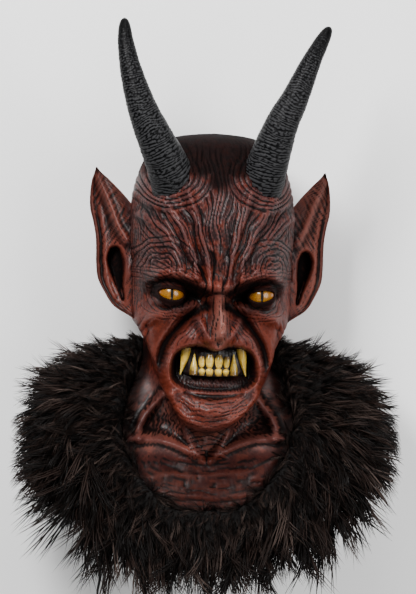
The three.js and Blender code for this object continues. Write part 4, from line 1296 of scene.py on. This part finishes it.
def furMaterial():
    look = Look("long fur", furPaint["black"])
    tint = look.value("tint")
    look.coat(tint.step(0.35, 1.0), furPaint["brown"])
    look.coat(tint.step(0.88, 1.0, 0.0, 0.7), furPaint["glint"])
    # painted shade towards the roots
    look.coat(look.value("tipward").step(0.55, 0.0, 0.0, 0.8), furPaint["root"])
    return look.finish({"Roughness": tint.step(0.0, 1.0, 0.42, 0.6), "Specular IOR Level": 0.12})


def backingMaterial():
    look = Look("fur backing", (0.0015, 0.001, 0.001))
    nap = look.noise(420, 4, 0.7)
    look.coat(nap, (0.004, 0.003, 0.0026))
    return look.finish({"Roughness": 0.9, "Specular IOR Level": 0.2, "Normal": look.bumped(nap, 0.6, 0.002)})


# Camera straight over the face, far off, so that the picture's frame holds 416 by 594 at this scale.
photo = {"wide": 416, "high": 594, "mmPerPixel": 1.05, "middleX": 206.5, "away": 6.0, "planeZ": 0.15,
         "sensor": 24}


def placeCamera():
    made = placed("camera", bpy.data.cameras.new("camera"))
    x, y, _ = toFrame([(photo["wide"] / 2 - photo["middleX"]) * photo["mmPerPixel"],
                       photo["high"] / 2 * photo["mmPerPixel"], 0])
    made.location = (x, y, photo["planeZ"] + photo["away"])
    made.data.sensor_fit = "VERTICAL"
    made.data.sensor_height = photo["sensor"]
    made.data.lens = photo["sensor"] * photo["away"] / (photo["high"] * photo["mmPerPixel"] / 1000)
    made.data.clip_end = 60
    made.data.dof.use_dof = False
    bpy.context.scene.camera = made


lights = {  # place in metres from the middle of the mask, size, power in watts
    "key": ((-0.5, 0.8, 1.25), 0.5, 34),
    "fill": ((0.95, 0.1, 1.0), 0.9, 15),
    "crown": ((0.25, 1.5, 0.75), 0.6, 11),
    "foot": ((-0.2, -1.4, 1.1), 0.9, 7),
}
studio = {"aim": Vector((0, 0, 0.1)), "skyStrength": 0.34, "floorHalf": 6.0}


def placeLights():
    for name, (at, size, power) in lights.items():
        lamp = bpy.data.lights.new(name, "AREA")
        lamp.shape, lamp.size, lamp.energy = "DISK", size, power
        made = placed(name, lamp)
        made.location = at
        made.rotation_euler = (studio["aim"] - made.location).to_track_quat("-Z", "Y").to_euler()
    world = bpy.data.worlds.new("studio")
    bpy.context.scene.world = world
    world.use_nodes = True
    sky = world.node_tree.nodes["Background"].inputs
    sky["Color"].default_value = (1, 1, 1, 1)
    sky["Strength"].default_value = studio["skyStrength"]


def placeFloor():
    half = studio["floorHalf"]
    mesh = bpy.data.meshes.new("floor")
    corners = [(-half, -half, 0), (half, -half, 0), (half, half, 0), (-half, half, 0)]
    mesh.from_pydata(corners, [], [(0, 1, 2, 3)])
    look = Look("pale paper", (0.94, 0.94, 0.94))
    look.coat(look.noise(3, 2), (0.96, 0.96, 0.96))
    mesh.materials.append(look.finish({"Roughness": 0.85, "Specular IOR Level": 0.2}))
    made = placed("floor", mesh)


def settle(piece, slot, *nodes):
    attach(piece, "root")
    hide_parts(*nodes)


placeCamera()
placeLights()
placeFloor()
print("camera, lights and floor stand")

settle(makeSkin(latexMaterial()), "latex_skin", "mask_skin")
print("skin is sculpted")

hornLook = hornMaterial()
settle(hornMesh("left", hornLook), "horn", "horn_left")
settle(hornMesh("right", hornLook), "horn", "horn_right")
print("horns are cast")

eyeLook = eyeMaterial()
settle(eyeMesh("left", eyeLook), "eye", "eye_left")
settle(eyeMesh("right", eyeLook), "eye", "eye_right")
settle(teethMesh(toothMaterial()), "tooth", "teeth")
settle(gumMesh(gumMaterial()), "tooth", "teeth")
print("eyes and teeth are set")

settle(hideMesh(backingMaterial()), "fur", "fur_collar")
for piece in growFur(furMaterial()):
    settle(piece, "fur", "fur_collar")
print("fur is grown")
